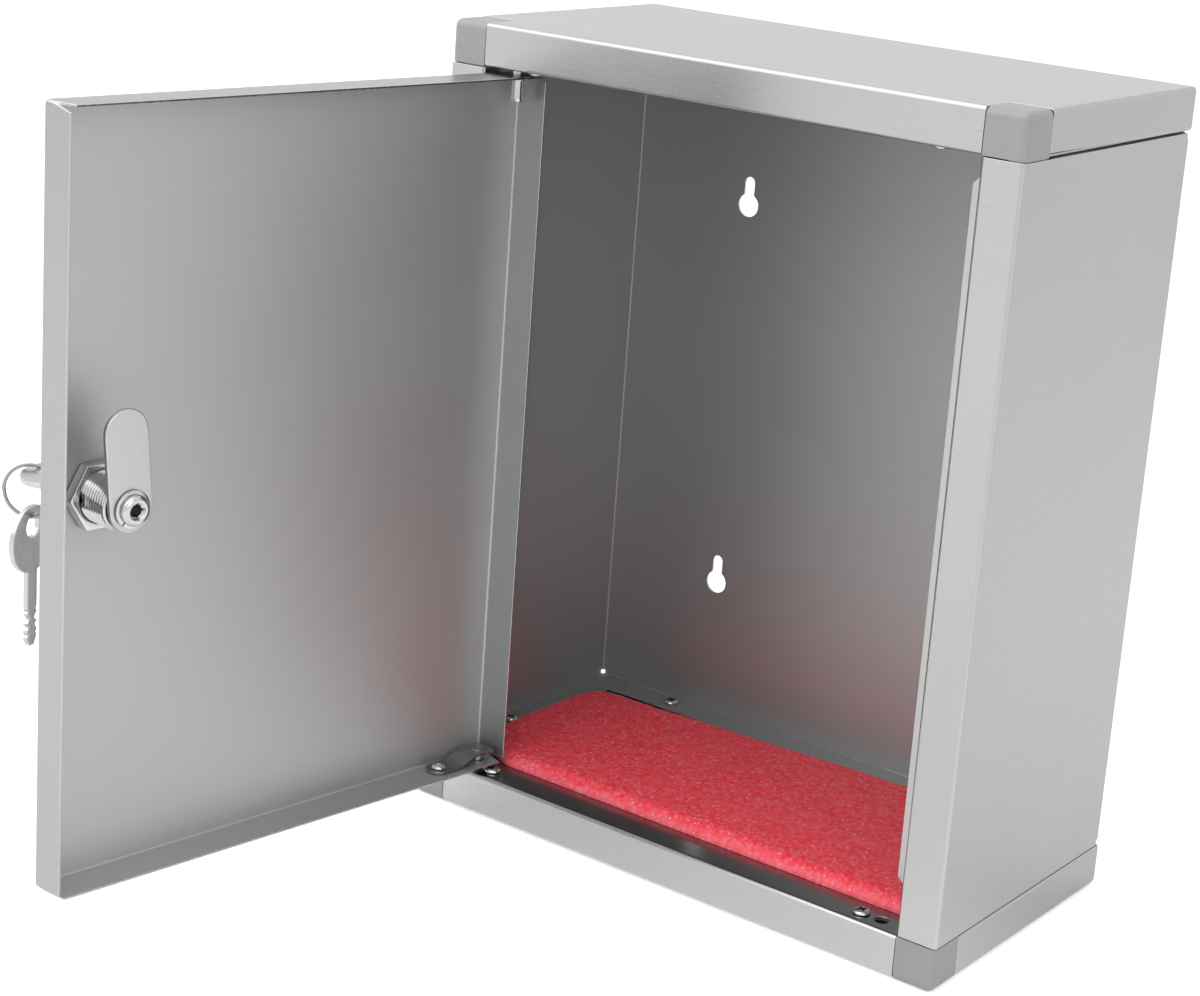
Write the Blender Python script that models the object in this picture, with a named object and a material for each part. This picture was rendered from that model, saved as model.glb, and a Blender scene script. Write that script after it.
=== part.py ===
"""Wall cabinet folded from stainless sheet, with a cam lock, its keys and a foam pad on the floor.

One object for each piece, in metres, +Z up. The origin is the centre of the bottom pan's underside, +X is to
the right of someone facing the door and +Y runs from the door to the wall. The door stands open, with its
pieces on an empty on the hinge axis, and the lock's turning pieces are on an empty on the lock's axis.
"""
from math import atan2, cos, pi, radians, sin, sqrt

import bmesh
import bpy
from mathutils import Matrix, Vector

MM = 0.001

# Cabinet
WIDTH = 250 * MM
DEPTH = 128 * MM
BODY_HEIGHT = 285.6 * MM
PAN_HEIGHT = 16.6 * MM
PAN_OVERHANG = 1.4 * MM
SHEET = 0.8 * MM
BEND = 1.6 * MM
BEND_STEPS = 4
SEAM = 0.5 * MM
GAP = 0.3 * MM
STILE = 16.7 * MM
REBATE = 19.3 * MM
LIP = 12.3 * MM
LIP_CHAMFER = 12.8 * MM
FLANGE = 15 * MM
FRONT_RETURN = 18 * MM
CORNER_RELIEF = 2.2 * MM
WEDGE_FRONT = 1.7 * MM
WEDGE_REAR = 0.2 * MM

# Keyholes in the back panel
KEYHOLE_HEAD = 9.8 * MM
KEYHOLE_SLOT = 4.7 * MM
KEYHOLE_RISE = 12 * MM
KEYHOLE_SPAN_X = 134 * MM
KEYHOLE_SPAN_Z = 166.4 * MM
KEYHOLE_DROP = 0.3 * MM

# Corner caps
CAP_SIDE = 17.4 * MM
CAP_ROUND = 3 * MM
CAP_FOOT = 0.8 * MM
CAP_ARM = 28 * MM
CAP_ARM_HEIGHT = 9 * MM
CAP_ARM_WIDTH = 12 * MM

# Door and hinge
DOOR_OPEN = 98
DOOR_DEPTH = 15.9 * MM
DOOR_HINGE_GAP = 2.9 * MM
DOOR_LOCK_GAP = 1.7 * MM
DOOR_END_GAP = 1.5 * MM
PIVOT_INSET = 7.7 * MM
PIVOT_DEPTH = 7.7 * MM
PIN_RADIUS = 2.4 * MM
PIN_CLEARANCE = 0.5 * MM
PIN_REACH = 5 * MM
PIN_COLLAR = 1.1 * MM
PIN_CHAMFER = 0.5 * MM
PIN_SIDES = 20
TOP_PIN_TAIL = 9.5 * MM
CORNER_NOTCH = 2.6 * MM
STRAP_LENGTH = 31 * MM
STRAP_WIDTH = 10 * MM
STRAP_THICK = 0.9 * MM
STRAP_RISE = 3.2 * MM
STRAP_TIP = 5.2 * MM
STRAP_CORNER = 3 * MM
RIVET_HEAD = 2.9 * MM
RIVET_HEAD_HEIGHT = 1.2 * MM
RIVET_SHANK = 1.3 * MM

# Screws
SCREW_HEAD = 3.4 * MM
SCREW_HEAD_HEIGHT = 1.3 * MM
SCREW_RIM = 0.3 * MM
SCREW_SHANK = 1.5 * MM
SCREW_LENGTH = 7 * MM
SCREW_CLEARANCE = 0.4 * MM
SCREW_SIDES = 16
DOME_ANGLES = (0, 30, 55, 75)
RECESS_ARM = 1.9 * MM
RECESS_SLOT = 0.5 * MM
RECESS_FLOOR = 0.45 * MM
HOLE_SIDES = 12
FRONT_SCREW_INSET = 8.7 * MM
SIDE_SCREW_Y = 53.5 * MM
BACK_SCREW_INSET = 44 * MM

# Lock
LOCK_FROM_EDGE = 22.5 * MM
LOCK_RISE = 2.2 * MM
LOCK_LEAN = 5
BARREL_RADIUS = 9.5 * MM
BARREL_WALL = 2.7 * MM
BARREL_END = 19 * MM
THREAD_PITCH = 1.5 * MM
THREAD_DEPTH = 0.5 * MM
BEZEL_RADIUS = 11.3 * MM
BEZEL_THICK = 2.6 * MM
NUT_FLATS = 23.5 * MM
NUT_THICK = 4.6 * MM
PLUG_CLEARANCE = 0.35 * MM
TAIL_SQUARE = 7.6 * MM
CAM_BEHIND_BARREL = 1.6 * MM
CAM_THICK = 2 * MM
CAM_WIDTH = 17.2 * MM
CAM_REACH = 36 * MM
WASHER_RADIUS = 7 * MM
WASHER_THICK = 0.8 * MM
CAM_SCREW_RADIUS = 5.6 * MM
CAM_SCREW_HEIGHT = 2.6 * MM
CAM_SCREW_RIM = 0.8 * MM
CAM_SCREW_SHOULDER = 0.8 * MM
CAM_SCREW_FLAT = 3.4 * MM
SOCKET_RADIUS = 2.35 * MM
SOCKET_DEPTH = 1.8 * MM
WAFER_COUNT = 4
WAFER_THICK = 1 * MM
WAFER_WIDTH = 5.4 * MM
WAFER_PITCH = 3 * MM
LOCK_SIDES = 24

# Keys
KEY_THICK = 2 * MM
KEY_BOW = 12.5 * MM
KEY_WEB = 3.4 * MM
KEY_HOLE = 4.2 * MM
KEY_BLADE = 6 * MM
KEY_BLADE_LENGTH = 28 * MM
KEY_NECK = 2.5 * MM
KEY_POINT = 1.3 * MM
KEY_CUT = 0.72 * MM
KEY_CUT_STEP = 0.48 * MM
KEY_CUT_DEPTHS = 3
BOW_SIDES = 40
KEY_OUT = 9 * MM
RING_RADIUS = 9.9 * MM
RING_WIRE = 0.6 * MM
RING_LIFT = 0.4 * MM
RING_SLACK = 0.5 * MM
RING_TURN = 44
RING_SIDES = 40
SPARE_TWIST = 25

# Foam pad
FOAM_THICK = 4 * MM
FOAM_ROUND = 0.8 * MM
FOAM_FRONT_GAP = 0.4 * MM
FOAM_SIDE_GAP = 6.9 * MM
FOAM_CORNER_X = 16 * MM
FOAM_CORNER_Y = 7 * MM
FOAM_BACK_LEFT = 25 * MM
FOAM_BACK_RIGHT = 11 * MM

# Levels and planes worked out from the sizes above
FRONT = -DEPTH / 2
BACK = DEPTH / 2
REAR = BACK + PAN_OVERHANG
HALF_WIDTH = WIDTH / 2
MOUTH = HALF_WIDTH - STILE
BODY_BOTTOM = PAN_HEIGHT + SEAM
BODY_TOP = BODY_BOTTOM + BODY_HEIGHT
COVER_BOTTOM = BODY_TOP + SEAM
OVERALL_HEIGHT = COVER_BOTTOM + PAN_HEIGHT
DOOR_WIDTH = 2 * MOUTH - DOOR_HINGE_GAP - DOOR_LOCK_GAP
DOOR_BOTTOM = BODY_BOTTOM + DOOR_END_GAP
DOOR_TOP = BODY_TOP - DOOR_END_GAP
PIVOT_X = MOUTH - DOOR_HINGE_GAP - PIVOT_INSET
PIVOT_Y = FRONT + PIVOT_DEPTH
PIN_HOLE = PIN_RADIUS + PIN_CLEARANCE
SCREW_HOLE = SCREW_SHANK + SCREW_CLEARANCE
RIVET_HOLE = RIVET_SHANK + SCREW_CLEARANCE
PLUG_RADIUS = BARREL_RADIUS - BARREL_WALL - PLUG_CLEARANCE
CAM_FRONT = BARREL_END + CAM_BEHIND_BARREL
BACK_SCREW_X = HALF_WIDTH - BACK_SCREW_INSET

# Edges sharper than this many degrees stay crisp
SMOOTH_ANGLE = 35


def finish(name, colour, roughness, metallic):
    """Plain Principled material with the piece's colour."""
    material = bpy.data.materials.new(name)
    material.use_nodes = True
    shader = material.node_tree.nodes["Principled BSDF"]
    shader.inputs["Base Color"].default_value = (*colour, 1)
    shader.inputs["Roughness"].default_value = roughness
    shader.inputs["Metallic"].default_value = metallic
    return material


def clear_scene():
    for obj in list(bpy.data.objects):
        bpy.data.objects.remove(obj, do_unlink=True)


def add_box(bm, low, high):
    """Box between two corners, given in any order."""
    low, high = Vector(low), Vector(high)
    size = high - low
    stretch = Matrix.Diagonal((abs(size.x), abs(size.y), abs(size.z), 1))
    made = bmesh.ops.create_cube(bm, size=1, matrix=Matrix.Translation((low + high) / 2) @ stretch)
    return made["verts"]


def add_cylinder(bm, start, end, radius, sides, end_radius=None):
    """Cylinder or cone from start to end, with closed ends."""
    start, end = Vector(start), Vector(end)
    along = end - start
    turn = along.to_track_quat("Z", "Y").to_matrix().to_4x4()
    return bmesh.ops.create_cone(
        bm,
        cap_ends=True,
        segments=sides,
        radius1=radius,
        radius2=radius if end_radius is None else end_radius,
        depth=along.length,
        matrix=Matrix.Translation((start + end) / 2) @ turn,
    )["verts"]


def add_turned(bm, profile, sides, closed=False):
    """Turns (radius, height) points about Z. A closed profile gives a tube or a ring."""
    verts = [bm.verts.new((radius, 0, height)) for radius, height in profile]
    edges = [bm.edges.new(pair) for pair in zip(verts, verts[1:])]
    if closed:
        edges.append(bm.edges.new((verts[-1], verts[0])))
    bmesh.ops.spin(
        bm, geom=verts + edges, cent=(0, 0, 0), axis=(0, 0, 1), angle=2 * pi, steps=sides, use_merge=True
    )
    bmesh.ops.remove_doubles(bm, verts=bm.verts, dist=0.001 * MM)
    bmesh.ops.recalc_face_normals(bm, faces=bm.faces)


def add_prism(bm, outline, low, high):
    """Extrudes a closed (x, y) outline from height low to height high."""
    face = bm.faces.new([bm.verts.new((x, y, low)) for x, y in outline])
    grown = bmesh.ops.extrude_face_region(bm, geom=[face])
    top = [item for item in grown["geom"] if isinstance(item, bmesh.types.BMVert)]
    bmesh.ops.translate(bm, verts=top, vec=(0, 0, high - low))
    bmesh.ops.recalc_face_normals(bm, faces=bm.faces)


def arc(centre, radius, start, end, steps):
    """Points on an arc, angles in degrees."""
    angles = [radians(start + (end - start) * step / steps) for step in range(steps + 1)]
    return [(centre[0] + radius * cos(angle), centre[1] + radius * sin(angle)) for angle in angles]


def bevel_edges(bm, wanted, offset, steps):
    """Rounds the edges whose middle passes the test."""
    edges = [edge for edge in bm.edges if wanted((edge.verts[0].co + edge.verts[1].co) / 2)]
    bmesh.ops.bevel(bm, geom=edges, offset=offset, segments=steps, profile=0.5, affect="EDGES", material=-1)


def to_mesh(name, bm):
    mesh = bpy.data.meshes.new(name)
    bm.to_mesh(mesh)
    bm.free()
    mesh.shade_smooth()
    mesh.set_sharp_from_angle(angle=radians(SMOOTH_ANGLE))
    return mesh


def place(name, mesh, material=None, parent=None, matrix=None):
    """Puts a mesh in the scene as one object."""
    obj = bpy.data.objects.new(name, mesh)
    bpy.context.scene.collection.objects.link(obj)
    if material is not None:
        mesh.materials.clear()
        mesh.materials.append(material)
    if parent is not None:
        obj.parent = parent
    if matrix is not None:
        obj.matrix_local = matrix
    return obj


def solid(name, bm, material, parent=None):
    return place(name, to_mesh(name, bm), material, parent)


def boolean(target, operation, bm):
    """Joins a shape to an object, or cuts it out, with a live Boolean. The tool is hidden in renders."""
    name = f"{target.name}_{operation.lower()}_{len(target.modifiers)}"
    tool = place(name, to_mesh(name, bm), parent=target.parent)
    tool.hide_render = True
    tool.display_type = "WIRE"
    modifier = target.modifiers.new(name, "BOOLEAN")
    modifier.operation = operation
    modifier.object = tool


def baked(obj):
    """The object's mesh with its modifiers applied. The object and its tools are removed."""
    graph = bpy.context.evaluated_depsgraph_get()
    mesh = bpy.data.meshes.new_from_object(obj.evaluated_get(graph))
    mesh.shade_smooth()
    mesh.set_sharp_from_angle(angle=radians(SMOOTH_ANGLE))
    for modifier in obj.modifiers:
        bpy.data.objects.remove(modifier.object, do_unlink=True)
    bpy.data.objects.remove(obj, do_unlink=True)
    return mesh


def empty(name, parent=None, matrix=None):
    obj = bpy.data.objects.new(name, None)
    bpy.context.scene.collection.objects.link(obj)
    obj.parent = parent
    if matrix is not None:
        obj.matrix_local = matrix
    return obj


def screw_spots():
    """Name, x, y and head level of each screw through the floor. The roof has the same set, upside down."""
    front_x = PIVOT_X - FRONT_SCREW_INSET
    side_x = HALF_WIDTH - FLANGE / 2
    back_y = BACK - FLANGE / 2
    strip = PAN_HEIGHT
    flange = BODY_BOTTOM + SHEET
    return [
        ("front_left", -front_x, PIVOT_Y, strip),
        ("front_right", front_x, PIVOT_Y, strip),
        ("left", -side_x, FRONT + SIDE_SCREW_Y, flange),
        ("right", side_x, FRONT + SIDE_SCREW_Y, flange),
        ("back_left", -BACK_SCREW_X, back_y, flange),
        ("back_right", BACK_SCREW_X, back_y, flange),
    ]


def keyhole_outline(x, z):
    """Round head below, slot with a round end above."""
    half = KEYHOLE_SLOT / 2
    head = KEYHOLE_HEAD / 2
    side = atan2(sqrt(head**2 - half**2), half) * 180 / pi
    return arc((x, z), head, 180 - side, 360 + side, 18) + arc((x, z + KEYHOLE_RISE - half), half, 0, 180, 8)


def body_shell(steel):
    """Sides, back, stiles and door stops from one folded strip, with flanges folded in at floor and roof."""
    half = SHEET / 2
    side = HALF_WIDTH - half
    stop = FRONT + REBATE + half
    right = [(MOUTH - LIP, stop), (MOUTH + half, stop), (MOUTH + half, FRONT + half), (side, FRONT + half)]
    right.append((side, BACK - half))
    route = [(-x, y) for x, y in right] + right[::-1]
    bm = bmesh.new()
    verts = [bm.verts.new((x, y, BODY_BOTTOM)) for x, y in route]
    edges = [bm.edges.new(pair) for pair in zip(verts, verts[1:])]
    grown = bmesh.ops.extrude_edge_only(bm, edges=edges)
    raised = [item for item in grown["geom"] if isinstance(item, bmesh.types.BMVert)]
    bmesh.ops.translate(bm, verts=raised, vec=(0, 0, BODY_HEIGHT))
    bends = [edge for edge in bm.edges if len(edge.link_faces) == 2]
    bmesh.ops.bevel(
        bm, geom=bends, offset=BEND - half, segments=BEND_STEPS, profile=0.5, affect="EDGES", material=-1
    )
    shell = solid("body_shell", bm, steel)
    wall = shell.modifiers.new("wall", "SOLIDIFY")
    wall.thickness = SHEET
    wall.offset = 0
    wall.use_even_offset = True

    flanges = bmesh.new()
    side_start = stop + half + CORNER_RELIEF
    for low in (BODY_BOTTOM, BODY_TOP - SHEET):
        high = low + SHEET
        for sign in (-1, 1):
            inner = sign * (HALF_WIDTH - FLANGE)
            add_box(flanges, (sign * side, side_start, low), (inner, BACK - FLANGE - GAP, high))
        add_box(flanges, (-side, BACK - FLANGE, low), (side, BACK - half, high))
    boolean(shell, "UNION", flanges)

    cuts = bmesh.new()
    for sign in (-1, 1):
        for level in (BODY_BOTTOM, BODY_TOP):
            size = Matrix.Diagonal((LIP_CHAMFER * sqrt(2), 6 * SHEET, LIP_CHAMFER * sqrt(2), 1))
            corner = Matrix.Translation((sign * (MOUTH - LIP), stop, level))
            bmesh.ops.create_cube(cuts, size=1, matrix=corner @ Matrix.Rotation(pi / 4, 4, "Y") @ size)
            foot = (sign * HALF_WIDTH, BACK, level - CORNER_RELIEF)
            add_cylinder(cuts, foot, (foot[0], BACK, level + CORNER_RELIEF), CORNER_RELIEF, HOLE_SIDES)
    for spot, x, y, level in screw_spots():
        if level > BODY_BOTTOM:
            add_cylinder(cuts, (x, y, level - 3 * SHEET), (x, y, level + SHEET), SCREW_HOLE, HOLE_SIDES)
            top = OVERALL_HEIGHT - level
            add_cylinder(cuts, (x, y, top - SHEET), (x, y, top + 3 * SHEET), SCREW_HOLE, HOLE_SIDES)
    boolean(shell, "DIFFERENCE", cuts)

    holes = bmesh.new()
    middle = (BODY_BOTTOM + BODY_TOP) / 2 - KEYHOLE_DROP
    for x in (-KEYHOLE_SPAN_X / 2, KEYHOLE_SPAN_X / 2):
        for z in (middle - KEYHOLE_SPAN_Z / 2, middle + KEYHOLE_SPAN_Z / 2):
            add_prism(holes, keyhole_outline(x, z), -BACK - SHEET, -BACK + 2 * SHEET)
    bmesh.ops.rotate(holes, verts=holes.verts, cent=(0, 0, 0), matrix=Matrix.Rotation(pi / 2, 3, "X"))
    boolean(shell, "DIFFERENCE", holes)
    return shell


def pan(name, steel, level):
    """Shallow C-section pan. level maps a height above its outer face to a world height."""
    bm = bmesh.new()
    add_box(bm, (-HALF_WIDTH, FRONT, level(0)), (HALF_WIDTH, REAR, level(PAN_HEIGHT)))
    bmesh.ops.bevel(
        bm, geom=bm.edges[:], offset=BEND, segments=BEND_STEPS, profile=0.5, affect="EDGES", material=-1
    )
    obj = solid(name, bm, steel)

    hollow = bmesh.new()
    inner_x = HALF_WIDTH - SHEET
    add_box(
        hollow, (-inner_x, FRONT + SHEET, level(SHEET)), (inner_x, REAR - SHEET, level(PAN_HEIGHT - SHEET))
    )
    boolean(obj, "DIFFERENCE", hollow)

    mouth = bmesh.new()
    edge_x = HALF_WIDTH - FLANGE
    add_box(
        mouth,
        (-edge_x, FRONT + FRONT_RETURN, level(PAN_HEIGHT / 2)),
        (edge_x, BACK - FLANGE, level(PAN_HEIGHT + SHEET)),
    )
    boolean(obj, "DIFFERENCE", mouth)

    cuts = bmesh.new()
    over = PAN_HEIGHT + SHEET
    for sign in (-1, 1):
        corner = (sign * (HALF_WIDTH + SHEET), FRONT - SHEET, level(-SHEET))
        add_box(cuts, corner, (sign * MOUTH, FRONT + CAP_SIDE, level(over)))
        pivot = (sign * PIVOT_X, PIVOT_Y)
        foot = (*pivot, level(PAN_HEIGHT - 2 * SHEET))
        add_cylinder(cuts, foot, (*pivot, level(over)), PIN_HOLE, PIN_SIDES)
    for spot, x, y, head in screw_spots():
        foot = (x, y, level(PAN_HEIGHT - 2 * SHEET))
        add_cylinder(cuts, foot, (x, y, level(over)), SCREW_HOLE, HOLE_SIDES)
    boolean(obj, "DIFFERENCE", cuts)
    return obj


def lift_right_edge(cover):
    """The roof's right side stands off the body in a thin wedge, widest at the front."""
    wedge = bmesh.new()
    inner = HALF_WIDTH - 2 * SHEET
    start = FRONT + CAP_SIDE - SHEET
    outer_rear = (HALF_WIDTH + SHEET, REAR + SHEET, COVER_BOTTOM + WEDGE_REAR)
    verts = add_box(wedge, (inner, start, COVER_BOTTOM - SEAM), outer_rear)
    for vert in verts:
        if vert.co.z > COVER_BOTTOM and vert.co.y < 0:
            vert.co.z = COVER_BOTTOM + WEDGE_FRONT
    boolean(cover, "DIFFERENCE", wedge)


def corner_cap(name, plastic, sign, level, foot):
    """Moulded corner with an arm in the pan's front channel and one in its side channel."""
    bm = bmesh.new()
    inner = MOUTH + GAP
    rear = FRONT + CAP_SIDE - GAP
    add_box(bm, (sign * inner, FRONT, level(-foot)), (sign * HALF_WIDTH, rear, level(PAN_HEIGHT)))
    outer = level(-foot)

    def shows(middle):
        on_side = abs(abs(middle.x) - HALF_WIDTH) < GAP
        on_front = abs(middle.y - FRONT) < GAP
        on_outer = abs(middle.z - outer) < GAP
        return on_side + on_front + on_outer >= 2

    bevel_edges(bm, shows, CAP_ROUND, BEND_STEPS)
    cap = solid(name, bm, plastic)

    low = level(SHEET + GAP)
    high = level(SHEET + GAP + CAP_ARM_HEIGHT)
    top = level(PAN_HEIGHT - SHEET - GAP)
    arms = bmesh.new()
    front_face = FRONT + SHEET + GAP
    arm_back = front_face + CAP_ARM_WIDTH
    add_box(arms, (sign * (MOUTH - CAP_ARM), front_face, high), (sign * (inner + CAP_ROUND), arm_back, top))
    boolean(cap, "UNION", arms)
    side_arm = bmesh.new()
    side_face = HALF_WIDTH - SHEET - GAP
    arm_inside = side_face - CAP_ARM_WIDTH
    add_box(side_arm, (sign * side_face, rear - CAP_ROUND, low), (sign * arm_inside, rear + CAP_ARM, high))
    boolean(cap, "UNION", side_arm)

    bores = bmesh.new()
    screw_x = sign * (PIVOT_X - FRONT_SCREW_INSET)
    for x, radius in ((sign * PIVOT_X, PIN_HOLE), (screw_x, SCREW_HOLE)):
        add_cylinder(bores, (x, PIVOT_Y, level(SHEET)), (x, PIVOT_Y, level(PAN_HEIGHT)), radius, PIN_SIDES)
    boolean(cap, "DIFFERENCE", bores)
    return cap


def dome(radius, rim, height):
    """Outline of a domed head from its rim up to near its middle."""
    angles = [radians(angle) for angle in DOME_ANGLES]
    return [(radius * cos(angle), rim + (height - rim) * sin(angle)) for angle in angles]


def screw_mesh(chrome):
    """Pan head with a cross recess, shank along -Z, seat at the origin."""
    bm = bmesh.new()
    tip = -SCREW_LENGTH
    profile = [(0, SCREW_HEAD_HEIGHT)] + dome(SCREW_HEAD, SCREW_RIM, SCREW_HEAD_HEIGHT)[::-1]
    profile += [(SCREW_HEAD, 0), (SCREW_SHANK, 0), (SCREW_SHANK, tip + SCREW_SHANK)]
    profile += [(SCREW_SHANK / 3, tip), (0, tip)]
    add_turned(bm, profile, SCREW_SIDES)
    blank = solid("screw_blank", bm, chrome)
    over = 2 * SCREW_HEAD_HEIGHT
    for x, y in ((RECESS_ARM, RECESS_SLOT), (RECESS_SLOT, RECESS_ARM)):
        recess = bmesh.new()
        add_box(recess, (-x, -y, RECESS_FLOOR), (x, y, over))
        boolean(blank, "DIFFERENCE", recess)
    mesh = baked(blank)
    mesh.name = "pan_head_screw"
    return mesh


def case_screws(mesh, chrome):
    for spot, x, y, seat in screw_spots():
        place(f"floor_screw_{spot}", mesh, chrome, matrix=Matrix.Translation((x, y, seat + GAP)))
        upside = Matrix.Translation((x, y, OVERALL_HEIGHT - seat - GAP)) @ Matrix.Rotation(pi, 4, "X")
        place(f"roof_screw_{spot}", mesh, chrome, matrix=upside)


def foam_pad(foam):
    """Loose sheet of foam on the floor flanges, cut clear of the door's swing at the hinge corner."""
    bm = bmesh.new()
    left = -MOUTH + FOAM_SIDE_GAP
    right = MOUTH - FOAM_SIDE_GAP
    front = FRONT + DOOR_DEPTH + FOAM_FRONT_GAP
    outline = [
        (left + FOAM_CORNER_X, front),
        (right, front),
        (right, BACK - FOAM_BACK_RIGHT),
        (left, BACK - FOAM_BACK_LEFT),
        (left, front + FOAM_CORNER_Y),
    ]
    low = BODY_BOTTOM + SHEET + GAP
    add_prism(bm, outline, low, low + FOAM_THICK)
    bevel_edges(bm, lambda middle: middle.z > low + FOAM_THICK - GAP, FOAM_ROUND, 2)
    return solid("foam_pad", bm, foam)


def door_point(u, v, z):
    """Door point from the hinge edge, the front face and the floor, in the door empty's frame."""
    return Vector((u - PIVOT_INSET, v - PIVOT_DEPTH, z))


def door_tray(steel, pivot, lock_z):
    """Tray with a flange on all four sides, slit and rounded at the corners, with holes for lock and pins."""
    bm = bmesh.new()
    add_box(bm, door_point(0, 0, DOOR_BOTTOM), door_point(DOOR_WIDTH, DOOR_DEPTH, DOOR_TOP))
    raw = DOOR_DEPTH - PIVOT_DEPTH
    bevel_edges(bm, lambda middle: middle.y < raw - GAP, BEND, BEND_STEPS)
    tray = solid("door", bm, steel, pivot)

    hollow = bmesh.new()
    add_box(
        hollow,
        door_point(SHEET, SHEET, DOOR_BOTTOM + SHEET),
        door_point(DOOR_WIDTH - SHEET, DOOR_DEPTH + SHEET, DOOR_TOP - SHEET),
    )
    face = SHEET - PIVOT_DEPTH
    bevel_edges(hollow, lambda middle: middle.y < face + GAP, BEND - SHEET, 2)
    boolean(tray, "DIFFERENCE", hollow)

    cuts = bmesh.new()
    for u in (0, DOOR_WIDTH):
        for z in (DOOR_BOTTOM, DOOR_TOP):
            start = door_point(u, 2 * BEND, z)
            add_cylinder(cuts, start, door_point(u, DOOR_DEPTH + SHEET, z), GAP, 16, CORNER_NOTCH)
    hole = BARREL_RADIUS + GAP
    lock_u = DOOR_WIDTH - LOCK_FROM_EDGE
    outside = door_point(lock_u, -SHEET, lock_z)
    add_cylinder(cuts, outside, door_point(lock_u, 2 * SHEET, lock_z), hole, LOCK_SIDES)
    for z in (DOOR_BOTTOM, DOOR_TOP):
        add_cylinder(cuts, (0, 0, z - 2 * SHEET), (0, 0, z + 2 * SHEET), PIN_HOLE, PIN_SIDES)
    rivet = Vector((rivet_x(), 0, DOOR_BOTTOM))
    reach = Vector((0, 0, 3 * SHEET))
    add_cylinder(cuts, rivet - reach, rivet + reach, RIVET_HOLE, HOLE_SIDES)
    boolean(tray, "DIFFERENCE", cuts)
    return tray


def rivet_x():
    """Distance from the hinge axis to the rivet that holds the strap on the door's floor flange."""
    return STRAP_LENGTH - STRAP_TIP - STRAP_WIDTH / 2


def top_hinge_pin(chrome, pivot):
    """Pin through the door's top flange into the roof's front strip, with a collar under the flange."""
    bm = bmesh.new()
    seat = DOOR_TOP - SHEET - GAP
    end = COVER_BOTTOM + PIN_REACH
    tail = DOOR_TOP - SHEET - TOP_PIN_TAIL
    collar = PIN_RADIUS + PIN_COLLAR
    profile = [
        (0, end),
        (PIN_RADIUS - PIN_CHAMFER, end),
        (PIN_RADIUS, end - PIN_CHAMFER),
        (PIN_RADIUS, seat),
        (collar, seat),
        (collar, seat - PIN_COLLAR),
        (PIN_RADIUS, seat - PIN_COLLAR),
        (PIN_RADIUS, tail + PIN_COLLAR),
        (PIN_RADIUS + PIN_CHAMFER, tail),
        (0, tail),
    ]
    add_turned(bm, profile, PIN_SIDES)
    return solid("top_hinge_pin", bm, chrome, pivot)


def hinge_strap(steel, pivot):
    """Leaf spring: flat under its rivet, then bowed up to the pin, with a tip to lift it by."""
    flat = DOOR_BOTTOM + SHEET + GAP
    half = STRAP_WIDTH / 2
    rise_start = rivet_x() - half
    route = [(rivet_x() + half, 0), (rise_start, 0), (PIN_HOLE + SHEET, STRAP_RISE), (-STRAP_TIP, STRAP_RISE)]
    bm = bmesh.new()
    rows = [[bm.verts.new((x, y, flat + z + STRAP_THICK / 2)) for y in (-half, half)] for x, z in route]
    for near, far in zip(rows, rows[1:]):
        bm.faces.new((near[0], far[0], far[1], near[1]))
    ends = rows[0] + rows[-1]
    bmesh.ops.bevel(
        bm, geom=ends, offset=STRAP_CORNER, segments=BEND_STEPS, profile=0.5, affect="VERTICES", material=-1
    )
    strap = solid("bottom_hinge_strap", bm, steel, pivot)
    wall = strap.modifiers.new("leaf", "SOLIDIFY")
    wall.thickness = STRAP_THICK
    wall.offset = 0
    wall.use_even_offset = True
    holes = bmesh.new()
    over = STRAP_RISE + 2 * STRAP_THICK
    add_cylinder(holes, (0, 0, flat - GAP), (0, 0, flat + over), PIN_RADIUS + GAP, PIN_SIDES)
    add_cylinder(holes, (rivet_x(), 0, flat - GAP), (rivet_x(), 0, flat + over), RIVET_HOLE, HOLE_SIDES)
    boolean(strap, "DIFFERENCE", holes)
    return strap


def bottom_hinge_pin(chrome, pivot):
    """Pin riveted in the strap, through the door's floor flange into the floor strip."""
    bm = bmesh.new()
    strap_low = DOOR_BOTTOM + SHEET + GAP + STRAP_RISE
    strap_top = strap_low + STRAP_THICK
    collar = PIN_RADIUS + PIN_COLLAR
    end = PAN_HEIGHT - PIN_REACH
    head = strap_top + GAP
    profile = [
        (0, head + PIN_COLLAR),
        (PIN_RADIUS - PIN_CHAMFER, head + PIN_COLLAR),
        (collar, head),
        (PIN_RADIUS, head),
        (PIN_RADIUS, strap_low - GAP),
        (collar, strap_low - GAP),
        (collar, strap_low - GAP - PIN_COLLAR),
        (PIN_RADIUS, strap_low - GAP - PIN_COLLAR),
        (PIN_RADIUS, end + PIN_CHAMFER),
        (PIN_RADIUS - PIN_CHAMFER, end),
        (0, end),
    ]
    add_turned(bm, profile, PIN_SIDES)
    return solid("bottom_hinge_pin", bm, chrome, pivot)


def strap_rivet(chrome, pivot):
    """Domed rivet through the strap and the door's floor flange, flush below."""
    bm = bmesh.new()
    seat = DOOR_BOTTOM + SHEET + STRAP_THICK + 2 * GAP
    head = [(radius, seat + height) for radius, height in dome(RIVET_HEAD, 0, RIVET_HEAD_HEIGHT)]
    profile = [(0, seat + RIVET_HEAD_HEIGHT)] + head[::-1]
    profile += [(RIVET_SHANK, seat), (RIVET_SHANK, DOOR_BOTTOM), (0, DOOR_BOTTOM)]
    add_turned(bm, profile, SCREW_SIDES)
    bmesh.ops.translate(bm, verts=bm.verts, vec=(rivet_x(), 0, 0))
    return solid("strap_rivet", bm, chrome, pivot)


def along_lock(bm):
    """Lays a shape that was made along +Z along +Y, the way into the door."""
    bmesh.ops.rotate(bm, verts=bm.verts, cent=(0, 0, 0), matrix=Matrix.Rotation(-pi / 2, 3, "X"))


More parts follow.
